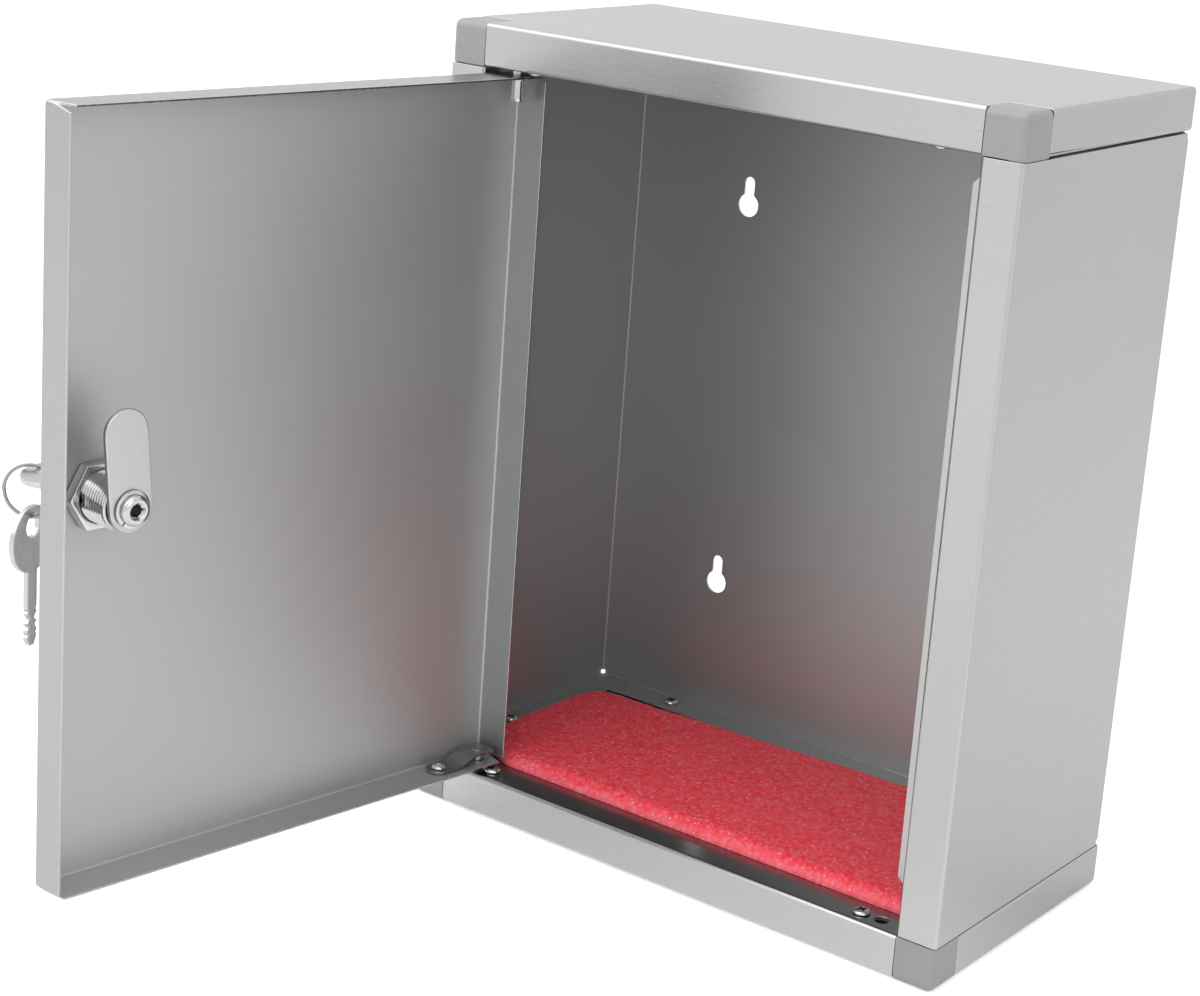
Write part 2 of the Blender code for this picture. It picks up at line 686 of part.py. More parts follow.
def lock_barrel(chrome, axis):
    """Threaded barrel with a bezel on the door's face. The thread is cut as rings."""
    bm = bmesh.new()
    bore = BARREL_RADIUS - BARREL_WALL
    root = BARREL_RADIUS - THREAD_DEPTH
    profile = [(bore, -BEZEL_THICK - GAP), (BEZEL_RADIUS - 2 * THREAD_DEPTH, -BEZEL_THICK - GAP)]
    profile += [(BEZEL_RADIUS, -BEZEL_THICK / 2 - GAP), (BEZEL_RADIUS, -GAP), (root, -GAP)]
    turns = int((BARREL_END - SHEET - THREAD_PITCH) / THREAD_PITCH)
    for turn in range(turns):
        start = BARREL_END - (turns - turn) * THREAD_PITCH
        profile += [(root, start), (BARREL_RADIUS, start + THREAD_PITCH / 2)]
    profile += [(root, BARREL_END), (bore, BARREL_END)]
    add_turned(bm, profile, LOCK_SIDES, closed=True)
    along_lock(bm)
    return solid("lock_barrel", bm, chrome, axis)


def lock_nut(chrome, axis):
    """Hexagon nut on the barrel, against the inside of the door."""
    bm = bmesh.new()
    low = SHEET + GAP
    corner = NUT_FLATS / sqrt(3)
    add_prism(bm, arc((0, 0), corner, 0, 300, 5), low, low + NUT_THICK)
    bevel_edges(bm, lambda middle: middle.z > low + NUT_THICK - GAP, 2 * GAP, 1)
    along_lock(bm)
    nut = solid("lock_nut", bm, chrome, axis)
    bore = bmesh.new()
    add_cylinder(bore, (0, 0, 0), (0, low + 2 * NUT_THICK, 0), BARREL_RADIUS + GAP, LOCK_SIDES)
    boolean(nut, "DIFFERENCE", bore)
    return nut


def wafer_levels():
    return [BARREL_END - 2 * WAFER_PITCH - WAFER_PITCH * index for index in range(WAFER_COUNT)]


def lock_plug(brass, turning):
    """Turning plug: keyway from the front, slots for the wafers, square tail behind for the cam."""
    bm = bmesh.new()
    front = -BEZEL_THICK
    end = BARREL_END + GAP
    rim = [(PLUG_RADIUS - GAP, front), (PLUG_RADIUS, front + GAP)]
    profile = [(0, front)] + rim + [(PLUG_RADIUS, end), (0, end)]
    add_turned(bm, profile, LOCK_SIDES)
    along_lock(bm)
    plug = solid("lock_plug", bm, brass, turning)
    tail = bmesh.new()
    half = TAIL_SQUARE / 2
    add_box(tail, (-half, end - SHEET, -half), (half, CAM_FRONT + CAM_THICK, half))
    boolean(plug, "UNION", tail)
    keyway = bmesh.new()
    half_x = KEY_BLADE / 2 + GAP
    half_z = KEY_THICK / 2 + GAP
    blade_end = KEY_BLADE_LENGTH - KEY_OUT - BEZEL_THICK
    add_box(keyway, (-half_x, front - SHEET, -half_z), (half_x, blade_end + 2 * GAP, half_z))
    boolean(plug, "DIFFERENCE", keyway)
    slots = bmesh.new()
    half_w = WAFER_WIDTH / 2 + GAP
    for level in wafer_levels():
        across = PLUG_RADIUS + GAP
        add_box(slots, (-across, level - GAP, -half_w), (across, level + WAFER_THICK + GAP, half_w))
    boolean(plug, "DIFFERENCE", slots)
    thread = bmesh.new()
    add_cylinder(thread, (0, end + SHEET, 0), (0, CAM_FRONT + 2 * CAM_THICK, 0), SCREW_SHANK + 2 * GAP, 16)
    boolean(plug, "DIFFERENCE", thread)
    return plug


def lock_wafers(brass, turning):
    """Sprung plates across the plug, with a window that the key's blade passes through."""
    reach = sqrt(PLUG_RADIUS**2 - (WAFER_WIDTH / 2) ** 2) - GAP
    half = WAFER_WIDTH / 2
    for index, level in enumerate(wafer_levels()):
        bm = bmesh.new()
        add_box(bm, (-reach, level, -half), (reach, level + WAFER_THICK, half))
        wafer = solid(f"lock_wafer_{index + 1}", bm, brass, turning)
        window = bmesh.new()
        half_x = KEY_BLADE / 2 + GAP
        half_z = KEY_THICK / 2 + GAP
        add_box(window, (-half_x, level - GAP, -half_z), (half_x, level + WAFER_THICK + GAP, half_z))
        boolean(wafer, "DIFFERENCE", window)


def lock_cam(chrome, turning):
    """Flat cam with round ends, pointing up when unlocked, on the plug's square tail."""
    bm = bmesh.new()
    half = CAM_WIDTH / 2
    outline = arc((0, CAM_REACH - half), half, 0, 180, 14) + arc((0, 0), half, 180, 360, 14)
    add_prism(bm, outline, -CAM_FRONT - CAM_THICK, -CAM_FRONT)
    bmesh.ops.rotate(bm, verts=bm.verts, cent=(0, 0, 0), matrix=Matrix.Rotation(pi / 2, 3, "X"))
    cam = solid("lock_cam", bm, chrome, turning)
    hole = bmesh.new()
    size = TAIL_SQUARE / 2 + GAP
    add_box(hole, (-size, CAM_FRONT - SHEET, -size), (size, CAM_FRONT + 2 * CAM_THICK, size))
    boolean(cam, "DIFFERENCE", hole)
    return cam


def cam_washer(chrome, turning):
    bm = bmesh.new()
    low = CAM_FRONT + CAM_THICK + GAP
    inner = SCREW_SHANK + 2 * GAP
    top = low + WASHER_THICK
    profile = [(inner, low), (WASHER_RADIUS, low), (WASHER_RADIUS, top), (inner, top)]
    add_turned(bm, profile, LOCK_SIDES, closed=True)
    along_lock(bm)
    return solid("cam_washer", bm, chrome, turning)


def cam_screw(chrome, turning):
    """Domed screw with a hexagon socket, holding the cam on the plug."""
    bm = bmesh.new()
    seat = CAM_FRONT + CAM_THICK + WASHER_THICK + 2 * GAP
    top = seat + CAM_SCREW_HEIGHT
    end = BARREL_END + 2 * GAP + SHEET
    shoulder = CAM_SCREW_RADIUS - CAM_SCREW_SHOULDER
    profile = [(0, end), (SCREW_SHANK, end), (SCREW_SHANK, seat), (CAM_SCREW_RADIUS, seat)]
    profile += [(CAM_SCREW_RADIUS, seat + CAM_SCREW_RIM), (shoulder, top - CAM_SCREW_SHOULDER / 2)]
    profile += [(CAM_SCREW_FLAT, top), (0, top)]
    add_turned(bm, profile, LOCK_SIDES)
    along_lock(bm)
    screw = solid("cam_screw", bm, chrome, turning)
    socket = bmesh.new()
    add_cylinder(socket, (0, top - SOCKET_DEPTH, 0), (0, top + SOCKET_DEPTH, 0), SOCKET_RADIUS, 6)
    boolean(screw, "DIFFERENCE", socket)
    return screw


def key_mesh(nickel):
    """Flat key along +Y from the middle of its round bow, with a hole in the bow and cuts in the blade."""
    bm = bmesh.new()
    half = KEY_THICK / 2
    add_cylinder(bm, (0, 0, -half), (0, 0, half), KEY_BOW, BOW_SIDES)
    blank = solid("key_blank", bm, nickel)
    blade = bmesh.new()
    start = KEY_BOW - KEY_NECK
    end = KEY_BOW + KEY_BLADE_LENGTH
    side = KEY_BLADE / 2
    shoulder = end - side
    right = [(side, start), (side, shoulder), (KEY_POINT, end)]
    add_prism(blade, right + [(-x, y) for x, y in right[::-1]], -half, half)
    boolean(blank, "UNION", blade)
    cuts = bmesh.new()
    add_cylinder(cuts, (0, key_hole_y(), -KEY_THICK), (0, key_hole_y(), KEY_THICK), KEY_HOLE, LOCK_SIDES)
    for index in range(WAFER_COUNT):
        y = shoulder - WAFER_PITCH * (index + 0.5)
        depth = KEY_CUT + KEY_CUT_STEP * (index % KEY_CUT_DEPTHS)
        for x in (-side - depth, side + depth):
            add_cylinder(cuts, (x, y, -KEY_THICK), (x, y, KEY_THICK), 2 * depth, 4)
    boolean(blank, "DIFFERENCE", cuts)
    mesh = baked(blank)
    mesh.name = "key"
    return mesh


def key_hole_y():
    return -KEY_BOW + KEY_WEB + KEY_HOLE


def bow_centre():
    """Bow's distance in front of the door's face when the key is in the lock."""
    return -BEZEL_THICK - KEY_OUT - KEY_BOW


def ring_frame():
    """Ring's centre and the way its plane faces, in the lock's frame: it hangs round the bow's web."""
    turn = radians(RING_TURN)
    across = Vector((sin(turn), -cos(turn), 0))
    hole = Vector((0, bow_centre() + key_hole_y(), 0))
    drop = RING_RADIUS - RING_WIRE - RING_SLACK - KEY_THICK / 2
    reach = sqrt(RING_RADIUS**2 - drop**2)
    centre = hole + across * reach - Vector((0, 0, drop))
    return centre, across


def key_ring(chrome, hanging):
    """Split ring of two turns side by side, drawn as one ring with a waist between the turns."""
    centre, across = ring_frame()
    bm = bmesh.new()
    upper = arc((RING_RADIUS, RING_LIFT), RING_WIRE, -30, 210, 4)
    lower = arc((RING_RADIUS, -RING_LIFT), RING_WIRE, 150, 390, 4)
    add_turned(bm, upper + lower, RING_SIDES, closed=True)
    facing = across.cross(Vector((0, 0, 1)))
    turn = facing.to_track_quat("Z", "Y").to_matrix()
    bmesh.ops.rotate(bm, verts=bm.verts, cent=(0, 0, 0), matrix=turn)
    bmesh.ops.translate(bm, verts=bm.verts, vec=centre)
    return solid("key_ring", bm, chrome, hanging)


def spare_key_matrix():
    """Spare key hanging from the foot of the ring, bow up, a little turned from the door."""
    centre, across = ring_frame()
    twist = radians(SPARE_TWIST)
    width = Vector((cos(twist), sin(twist), 0))
    down = Vector((0, 0, -1))
    facing = width.cross(down)
    turn = Matrix((width, down, facing)).transposed().to_4x4()
    ring_floor = centre - Vector((0, 0, RING_RADIUS - RING_WIRE))
    hole_top = Vector((0, 0, -key_hole_y() + KEY_HOLE))
    bow = ring_floor - hole_top + Vector((0, 0, RING_SLACK))
    return Matrix.Translation(bow) @ turn


def main():
    clear_scene()
    steel = finish("brushed_stainless", (0.62, 0.62, 0.62), 0.35, 1)
    plastic = finish("grey_plastic", (0.36, 0.36, 0.36), 0.5, 0)
    foam = finish("red_foam", (0.62, 0.045, 0.07), 0.8, 0)
    chrome = finish("nickel_plate", (0.7, 0.7, 0.68), 0.2, 1)
    brass = finish("plug_brass", (0.6, 0.5, 0.3), 0.3, 1)

    body_shell(steel)
    pan("bottom_pan", steel, lambda height: height)
    cover = pan("top_cover", steel, lambda height: OVERALL_HEIGHT - height)
    lift_right_edge(cover)
    for side, sign in (("left", -1), ("right", 1)):
        corner_cap(f"bottom_cap_{side}", plastic, sign, lambda height: height, CAP_FOOT)
        corner_cap(f"top_cap_{side}", plastic, sign, lambda height: OVERALL_HEIGHT - height, 0)
    screw = screw_mesh(chrome)
    case_screws(screw, chrome)
    foam_pad(foam)

    hinge = Matrix.Translation((-PIVOT_X, PIVOT_Y, 0)) @ Matrix.Rotation(radians(-DOOR_OPEN), 4, "Z")
    pivot = empty("door_pivot", matrix=hinge)
    lock_z = (BODY_BOTTOM + BODY_TOP) / 2 + LOCK_RISE
    door_tray(steel, pivot, lock_z)
    top_hinge_pin(chrome, pivot)
    hinge_strap(steel, pivot)
    bottom_hinge_pin(chrome, pivot)
    strap_rivet(chrome, pivot)

    lock_place = door_point(DOOR_WIDTH - LOCK_FROM_EDGE, 0, lock_z)
    axis = empty("lock_axis", pivot, Matrix.Translation(lock_place))
    lock_barrel(chrome, axis)
    lock_nut(chrome, axis)
    turning = empty("lock_turning", axis, Matrix.Rotation(radians(LOCK_LEAN), 4, "Y"))
    lock_plug(brass, turning)
    lock_wafers(brass, turning)
    lock_cam(chrome, turning)
    cam_washer(chrome, turning)
    cam_screw(chrome, turning)
    key = key_mesh(chrome)
    place("lock_key", key, chrome, turning, Matrix.Translation((0, bow_centre(), 0)))
    hanging = empty("ring_hanging", axis)
    key_ring(chrome, hanging)
    place("spare_key", key, chrome, hanging, spare_key_matrix())


main()
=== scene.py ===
# %% [markdown]
# # A steel wall cabinet, piece by piece
#
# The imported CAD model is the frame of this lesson. It says where each piece is and how it moves, so nothing
# here has to be fitted by eye. What is left to do is the look: each piece gets the form and the finish that
# a hand would find on the real cabinet, and it rides on the body that the frame gives it.

# %% The frame
from math import cos, pi, radians, sin, sqrt

import bmesh
import bpy
from mathutils import Matrix, Vector, noise


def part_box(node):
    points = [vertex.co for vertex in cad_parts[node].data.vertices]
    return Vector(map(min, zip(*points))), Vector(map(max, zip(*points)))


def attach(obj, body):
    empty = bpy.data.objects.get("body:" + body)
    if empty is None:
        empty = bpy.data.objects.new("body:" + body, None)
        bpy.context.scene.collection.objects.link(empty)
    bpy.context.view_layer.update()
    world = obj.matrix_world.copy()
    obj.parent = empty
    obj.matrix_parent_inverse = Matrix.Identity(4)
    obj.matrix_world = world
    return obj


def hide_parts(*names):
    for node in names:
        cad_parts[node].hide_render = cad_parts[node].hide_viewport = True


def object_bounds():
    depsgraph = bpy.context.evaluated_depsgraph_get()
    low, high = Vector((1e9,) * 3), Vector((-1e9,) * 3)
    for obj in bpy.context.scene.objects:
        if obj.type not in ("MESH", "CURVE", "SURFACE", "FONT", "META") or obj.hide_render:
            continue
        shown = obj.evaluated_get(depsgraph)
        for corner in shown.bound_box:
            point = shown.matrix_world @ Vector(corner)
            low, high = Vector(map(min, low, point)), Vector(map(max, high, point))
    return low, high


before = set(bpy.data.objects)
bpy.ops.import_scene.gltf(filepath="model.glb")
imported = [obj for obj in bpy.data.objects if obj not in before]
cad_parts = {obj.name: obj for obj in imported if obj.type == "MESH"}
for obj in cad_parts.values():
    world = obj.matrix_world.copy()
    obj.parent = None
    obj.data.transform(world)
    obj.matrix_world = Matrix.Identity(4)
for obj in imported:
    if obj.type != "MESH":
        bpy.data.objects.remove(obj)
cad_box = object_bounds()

MM = 0.001
scene = bpy.context.scene

# %% [markdown]
# ## The camera
#
# A product picture is taken from a little above, with a lens of about 75 mm, so that the box keeps its
# proportions. The place and the turn below come from measuring where the box's corners fall in the picture.
# A small shift of the film moves the box in the frame without turning the camera.

# %% The camera
lens = bpy.data.cameras.new("picture_camera")
lens.lens = 76.2324
lens.sensor_width = 36
lens.shift_x = -0.029025
lens.shift_y = -0.078248
camera = bpy.data.objects.new("picture_camera", lens)
camera.location = (0.512794, -0.810233, 0.434363)
camera.rotation_euler = [radians(angle) for angle in (74.94588, -4.15802, 36.93565)]
scene.collection.objects.link(camera)
scene.camera = camera
scene.view_settings.view_transform = "Standard"
print("camera: lens", lens.lens, "mm at", tuple(camera.location))

# %% [markdown]
# ## Nodes by hand
#
# Every finish below is a small graph of shader nodes. Two helpers keep that readable: one adds a node and
# fills its inputs, the other joins two sockets. A constant goes straight on a socket of the shader, because
# an exporter can read it there.

# %% Helpers for shader nodes
def add_node(tree, kind, inputs=None, **options):
    """Adds a shader node. Inputs fills its sockets and options sets its own properties."""
    node = tree.nodes.new("ShaderNode" + kind)
    for name, value in options.items():
        setattr(node, name, value)
    for name, value in (inputs or {}).items():
        node.inputs[name].default_value = value
    return node


def join(tree, source, target):
    """Links an output socket to an input socket."""
    tree.links.new(source, target)


def seen_by_camera_or_mirror(tree):
    """Socket that is 1 for rays from the camera, from a mirror or through glass, and 0 for other light."""
    path = add_node(tree, "LightPath")
    mirror = add_node(tree, "Math", operation="ADD", use_clamp=True)
    join(tree, path.outputs["Is Camera Ray"], mirror.inputs[0])
    join(tree, path.outputs["Is Glossy Ray"], mirror.inputs[1])
    glass = add_node(tree, "Math", operation="ADD", use_clamp=True)
    join(tree, mirror.outputs[0], glass.inputs[0])
    join(tree, path.outputs["Is Transmission Ray"], glass.inputs[1])
    return glass.outputs[0]


print("node helpers ready")

# %% [markdown]
# ## The studio
#
# Steel has hardly a colour of its own: it shows the room. So the room comes first. It is white wherever the
# camera or a reflection looks, and at a plain level for the light that falls on plastic and foam. The floor
# is pale and keeps the shadow of the box. In a mirror image it gives a little more light along the front of
# the box, where that shadow would dull the lower sheet. Three wide lamps give soft light.

# %% World and floor
ROOM_LIGHT = 0.82
world = bpy.data.worlds.new("white_room")
world.use_nodes = True
scene.world = world
room = world.node_tree
background = room.nodes["Background"]
level = add_node(room, "MapRange", {"To Min": ROOM_LIGHT, "To Max": 1.0})
join(room, seen_by_camera_or_mirror(room), level.inputs["Value"])
join(room, level.outputs["Result"], background.inputs["Strength"])
background.inputs["Color"].default_value = (1, 1, 1, 1)

FLOOR_SEEN = 0.42
MIRRORED_NEAR = 0.4
MIRRORED_FAR = 0.08
NEAR_LINE = -0.09
NEAR_WIDTH = 0.02
FAR_WIDTH = 0.12
PAPER_TONE = 0.9
FLOOR_HALF = 4
paper = bpy.data.materials.new("studio_paper")
paper.use_nodes = True
tree = paper.node_tree
paper_shader = tree.nodes["Principled BSDF"]
paper_shader.inputs["Base Color"].default_value = (PAPER_TONE, PAPER_TONE, PAPER_TONE, 1)
paper_shader.inputs["Roughness"].default_value = 0.9
paper_shader.inputs["Specular IOR Level"].default_value = 0
paper_shader.inputs["Emission Color"].default_value = (1, 1, 1, 1)
path = add_node(tree, "LightPath")
place = add_node(tree, "TexCoord")
axes = add_node(tree, "SeparateXYZ")
join(tree, place.outputs["Object"], axes.inputs["Vector"])
offset = add_node(tree, "Math", operation="SUBTRACT")
offset.inputs[1].default_value = NEAR_LINE
join(tree, axes.outputs["Y"], offset.inputs[0])
away = add_node(tree, "Math", operation="ABSOLUTE")
join(tree, offset.outputs[0], away.inputs[0])
given = add_node(
    tree,
    "MapRange",
    {"From Min": NEAR_WIDTH, "From Max": FAR_WIDTH, "To Min": MIRRORED_NEAR, "To Max": MIRRORED_FAR},
)
join(tree, away.outputs[0], given.inputs["Value"])
mirrored = add_node(tree, "Math", operation="MULTIPLY")
join(tree, given.outputs["Result"], mirrored.inputs[1])
join(tree, path.outputs["Is Glossy Ray"], mirrored.inputs[0])
seen = add_node(tree, "Math", operation="MULTIPLY_ADD")
seen.inputs[1].default_value = FLOOR_SEEN
join(tree, path.outputs["Is Camera Ray"], seen.inputs[0])
join(tree, mirrored.outputs[0], seen.inputs[2])
join(tree, seen.outputs[0], paper_shader.inputs["Emission Strength"])

bm = bmesh.new()
bmesh.ops.create_grid(bm, x_segments=2, y_segments=2, size=FLOOR_HALF)
bmesh.ops.translate(bm, verts=bm.verts, vec=(0, 0, cad_box[0].z))
mesh = bpy.data.meshes.new("studio_floor")
bm.to_mesh(mesh)
bm.free()
mesh.materials.append(paper)
floor = bpy.data.objects.new("studio_floor", mesh)
scene.collection.objects.link(floor)
print("floor at", round(cad_box[0].z / MM, 2), "mm")

# %% Lamps
def wide_lamp(name, place, target, size, watts):
    """Square area lamp that looks at a point."""
    lamp = bpy.data.lights.new(name, "AREA")
    lamp.size = size
    lamp.energy = watts
    holder = bpy.data.objects.new(name, lamp)
    aim = Vector(target) - Vector(place)
    holder.matrix_world = Matrix.Translation(place) @ aim.to_track_quat("-Z", "Y").to_matrix().to_4x4()
    scene.collection.objects.link(holder)


BOX_MIDDLE = (0, -0.05, 0.16)
wide_lamp("lamp_above", (-0.6, -0.7, 1.7), BOX_MIDDLE, 2.4, 26)
wide_lamp("lamp_right", (1.7, -0.7, 1.0), BOX_MIDDLE, 1.2, 4)
wide_lamp("lamp_front", (-0.8, -1.5, 1.1), BOX_MIDDLE, 1.5, 2)
print("three lamps")

# %% [markdown]
# ## Brushed stainless sheet
#
# Sheet of this kind is brushed with an abrasive belt. The belt leaves hairlines along its travel, so a
# reflection stays crisp along the lines and smears across them. A bump map alone can't give that smear, so
# the shader is anisotropic and takes its direction from a UV map called grain, whose u runs along the lines.
# The same map carries the hairlines in colour, roughness and bump, and slow clouds stand for handling.

# %% Finish of the sheet
GRAIN = "grain"
HAIRLINES = (22, 4200, 1)
BANDS = (5, 300, 1)
CLOUDS = (9, 9, 9)
SHEAR_MARKS = (900, 900, 900)
BAND_SHARE = 0.3
CLOUD_TONE = 0.008
CLOUD_RUB = 0.012
BAND_RUB = 0.008
QUARTER_TURN = 0.25


def new_finish(name, metallic):
    """Empty Principled finish, and its node tree and shader."""
    material = bpy.data.materials.new(name)
    material.use_nodes = True
    shader = material.node_tree.nodes["Principled BSDF"]
    shader.inputs["Metallic"].default_value = metallic
    return material, material.node_tree, shader


def spread(tree, value, low, high, start=0.3, end=0.7):
    """Maps the middle of a noise to a range and returns the socket."""
    node = add_node(tree, "MapRange", {"From Min": start, "From Max": end, "To Min": low, "To Max": high})
    join(tree, value, node.inputs["Value"])
    return node.outputs["Result"]


def noise_on(tree, coordinate, stretch, detail, roughness=0.55):
    """Noise on a coordinate that is scaled along each axis first."""
    mapping = add_node(tree, "Mapping", {"Scale": stretch})
    join(tree, coordinate, mapping.inputs["Vector"])
    texture = add_node(tree, "TexNoise", {"Scale": 1.0, "Detail": detail, "Roughness": roughness})
    join(tree, mapping.outputs["Vector"], texture.inputs["Vector"])
    return texture.outputs["Fac"]


def blend_sockets(tree, operation, first, second):
    """Adds or multiplies two values and returns the socket."""
    node = add_node(tree, "Math", operation=operation)
    join(tree, first, node.inputs[0])
    join(tree, second, node.inputs[1])
    return node.outputs[0]


def grey_from(tree, value):
    """Colour socket with the same amount of red, green and blue."""
    node = add_node(tree, "CombineColor")
    for channel in ("Red", "Green", "Blue"):
        join(tree, value, node.inputs[channel])
    return node.outputs["Color"]


def roughen(tree, shader, height, distance, strength):
    """Turns a height into bump on the shader."""
    bump = add_node(tree, "Bump", {"Strength": strength, "Distance": distance})
    join(tree, height, bump.inputs["Height"])
    join(tree, bump.outputs["Normal"], shader.inputs["Normal"])


def rolled_sheet(name, tone, roughness, stretch, lines, red=1.0):
    """Steel sheet: stretch is how far a reflection smears across the lines, lines how strong they are.
    Red under 1 is a painted cooler cast that offsets the red reflection of the foam."""
    material, tree, shader = new_finish(name, 1.0)
    uv = add_node(tree, "UVMap", uv_map=GRAIN)
    spot = add_node(tree, "TexCoord")
    hair = noise_on(tree, uv.outputs["UV"], HAIRLINES, 3)
    band = noise_on(tree, uv.outputs["UV"], BANDS, 4)
    cloud = noise_on(tree, spot.outputs["Object"], CLOUDS, 3)
    faint = BAND_SHARE * lines
    light = blend_sockets(tree, "ADD", spread(tree, hair, -lines, lines), spread(tree, band, -faint, faint))
    tones = spread(tree, cloud, tone - CLOUD_TONE, tone + CLOUD_TONE)
    shade = blend_sockets(tree, "ADD", light, tones)
    cast = add_node(tree, "MixRGB", {"Fac": 1.0, "Color2": (red, 1, 1, 1)}, blend_type="MULTIPLY")
    join(tree, grey_from(tree, shade), cast.inputs["Color1"])
    join(tree, cast.outputs["Color"], shader.inputs["Base Color"])
    handled = spread(tree, cloud, -CLOUD_RUB, CLOUD_RUB)
    rub = blend_sockets(tree, "ADD", spread(tree, hair, -lines, lines), handled)
    brushed = spread(tree, band, roughness - BAND_RUB, roughness + BAND_RUB)
    rough = blend_sockets(tree, "ADD", rub, brushed)
    join(tree, rough, shader.inputs["Roughness"])
    roughen(tree, shader, hair, 0.004 * MM, 4 * lines)
    tangent = add_node(tree, "Tangent", direction_type="UV_MAP", uv_map=GRAIN)
    join(tree, tangent.outputs["Tangent"], shader.inputs["Tangent"])
    shader.inputs["Anisotropic"].default_value = stretch
    shader.inputs["Anisotropic Rotation"].default_value = QUARTER_TURN
    return material


def sheared_edge(name, tone, roughness):
    """Raw edge of a sheet, with fine marks from the shear. The tone is painted: light for a painted highlight
    on eased edges, near black for painted shade.
    """
    material, tree, shader = new_finish(name, 1.0)
    spot = add_node(tree, "TexCoord")
    mark = noise_on(tree, spot.outputs["Object"], SHEAR_MARKS, 3)
    shade = spread(tree, mark, tone - 0.06, tone + 0.06)
    join(tree, grey_from(tree, shade), shader.inputs["Base Color"])
    join(tree, spread(tree, mark, roughness - 0.05, roughness + 0.08), shader.inputs["Roughness"])
    roughen(tree, shader, mark, 0.02 * MM, 0.3)
    return material


sheet_steel = rolled_sheet("brushed_stainless", 0.465, 0.28, 0.8, 0.008)
# Mill finish inside the box, with its red cut a little as a painted offset against the foam's red reflection.
mill_steel = rolled_sheet("mill_stainless", 0.47, 0.56, 0.3, 0.01, 0.973)
# Painted light: the door's inside is a lighter copy of the mill finish, standing for the light that falls on
# the door.
door_mill_painted_lighter = rolled_sheet("door_mill_stainless_painted_lighter", 0.55, 0.58, 0.3, 0.01, 0.978)
flange_steel = rolled_sheet("flange_stainless", 0.42, 0.42, 0.3, 0.01)
# Painted reflection: the strip is painted dark for the dark inside that it mirrors, with less red to offset
# the foam's red in it.
strip_steel_painted_dark = rolled_sheet("strip_stainless_painted_dark", 0.28, 0.18, 0.2, 0.006, 0.86)
# Painted highlight: the eased edges of the sheets get a lighter tone than the sheet itself.
edge_steel_painted_highlight = sheared_edge("stainless_edge_painted_highlight", 0.66, 0.26)
# Painted shade: a near black edge finish for the shade under the door's top flange and in the floor pan's
# joint.
raw_edge_painted_shade = sheared_edge("shade_painted_raw_edge", 0.12, 0.45)
print("finishes:", sheet_steel.name, mill_steel.name, edge_steel_painted_highlight.name)

# %% [markdown]
# ## From a CAD node to a piece
#
# The sheet pieces already have their true shape in the frame: folds, flanges, holes and slits. A CAD mesh is
# loose triangles, so a copy is merged and its flat faces are made whole again. Then the copy gets the grain
# map, and a Bevel modifier breaks its sharp edges by a tenth of a millimetre, which is what catches light.
# The bevels get a lighter finish than the sheet: a painted highlight along the edges.

# %% Helpers for pieces
MERGE_DISTANCE = 0.001 * MM
FLAT_ANGLE = 0.4
SMOOTH_ANGLE = 35
STEEP = 0.7
SECOND_FINISH = 1
HIGHLIGHT_PAINTED_EDGE = 1
MILL_SIDE = 2
SPECIAL_SIDE = 3
SHADE_PAINTED_EDGE = 4
PROBE = 1.0 * MM
FACING = 0.9


def merged_copy(node):
    """Copy of a CAD node with joined triangles and whole flat faces, cut where they turn inwards."""
    bm = bmesh.new()
    bm.from_mesh(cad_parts[node].data)
    bmesh.ops.remove_doubles(bm, verts=bm.verts, dist=MERGE_DISTANCE)
    bmesh.ops.dissolve_limit(bm, angle_limit=radians(FLAT_ANGLE), verts=bm.verts, edges=bm.edges)
    bmesh.ops.connect_verts_concave(bm, faces=bm.faces)
    bm.normal_update()
    return bm


def lay_grain(bm, flat_direction):
    """Writes the grain map: along the wall on upright faces, along one direction on level ones."""
    layer = bm.loops.layers.uv.new(GRAIN)
    for face in bm.faces:
        along = Vector((0, 0, 1)).cross(face.normal)
        if along.length < STEEP:
            along = Vector(flat_direction)
        along.normalize()
        across = face.normal.cross(along)
        for loop in face.loops:
            loop[layer].uv = (loop.vert.co.dot(along), loop.vert.co.dot(across))


def mark_mill_side(bm, low, high, turn=None):
    """Gives the mill finish to faces that look into a box. The box is upright before turn is applied."""
    back = (turn or Matrix()).inverted()
    for face in bm.faces:
        probe = back @ (face.calc_center_median() + face.normal * PROBE)
        if all(least < value < most for least, value, most in zip(low, probe, high)):
            face.material_index = MILL_SIDE


def mark_faces(bm, finish, chosen):
    """Gives a finish to the faces whose middle and normal are chosen."""
    for face in bm.faces:
        if chosen(face.calc_center_median(), face.normal):
            face.material_index = finish


def make_piece(name, bm, body, finishes, stands_for=()):
    """Turns a bmesh into an object that rides on a body and stands for CAD nodes."""
    mesh = bpy.data.meshes.new(name)
    bm.to_mesh(mesh)
    bm.free()
    mesh.shade_smooth()
    mesh.set_sharp_from_angle(angle=radians(SMOOTH_ANGLE))
    piece = bpy.data.objects.new(name, mesh)
    scene.collection.objects.link(piece)
    for finish in finishes:
        mesh.materials.append(finish)
    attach(piece, body)
    if stands_for:
        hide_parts(*stands_for)
    return piece


def ease_edges(piece, width, segments=2, finish=-1, angle=40):
    """Breaks sharp edges and keeps wide faces flat in the shading."""
    bevel = piece.modifiers.new("eased_edges", "BEVEL")
    bevel.width = width
    bevel.segments = segments
    bevel.limit_method = "ANGLE"
    bevel.angle_limit = radians(angle)
    bevel.use_clamp_overlap = False
    bevel.material = finish
    normals = piece.modifiers.new("flat_faces", "WEIGHTED_NORMAL")
    normals.keep_sharp = True


def new_points(grown):
    """Points that an extrusion made."""
    return [item for item in grown["geom"] if isinstance(item, bmesh.types.BMVert)]


def open_edges(bm):
    """Edges with a face on one side only."""
    return [edge for edge in bm.edges if edge.is_boundary]


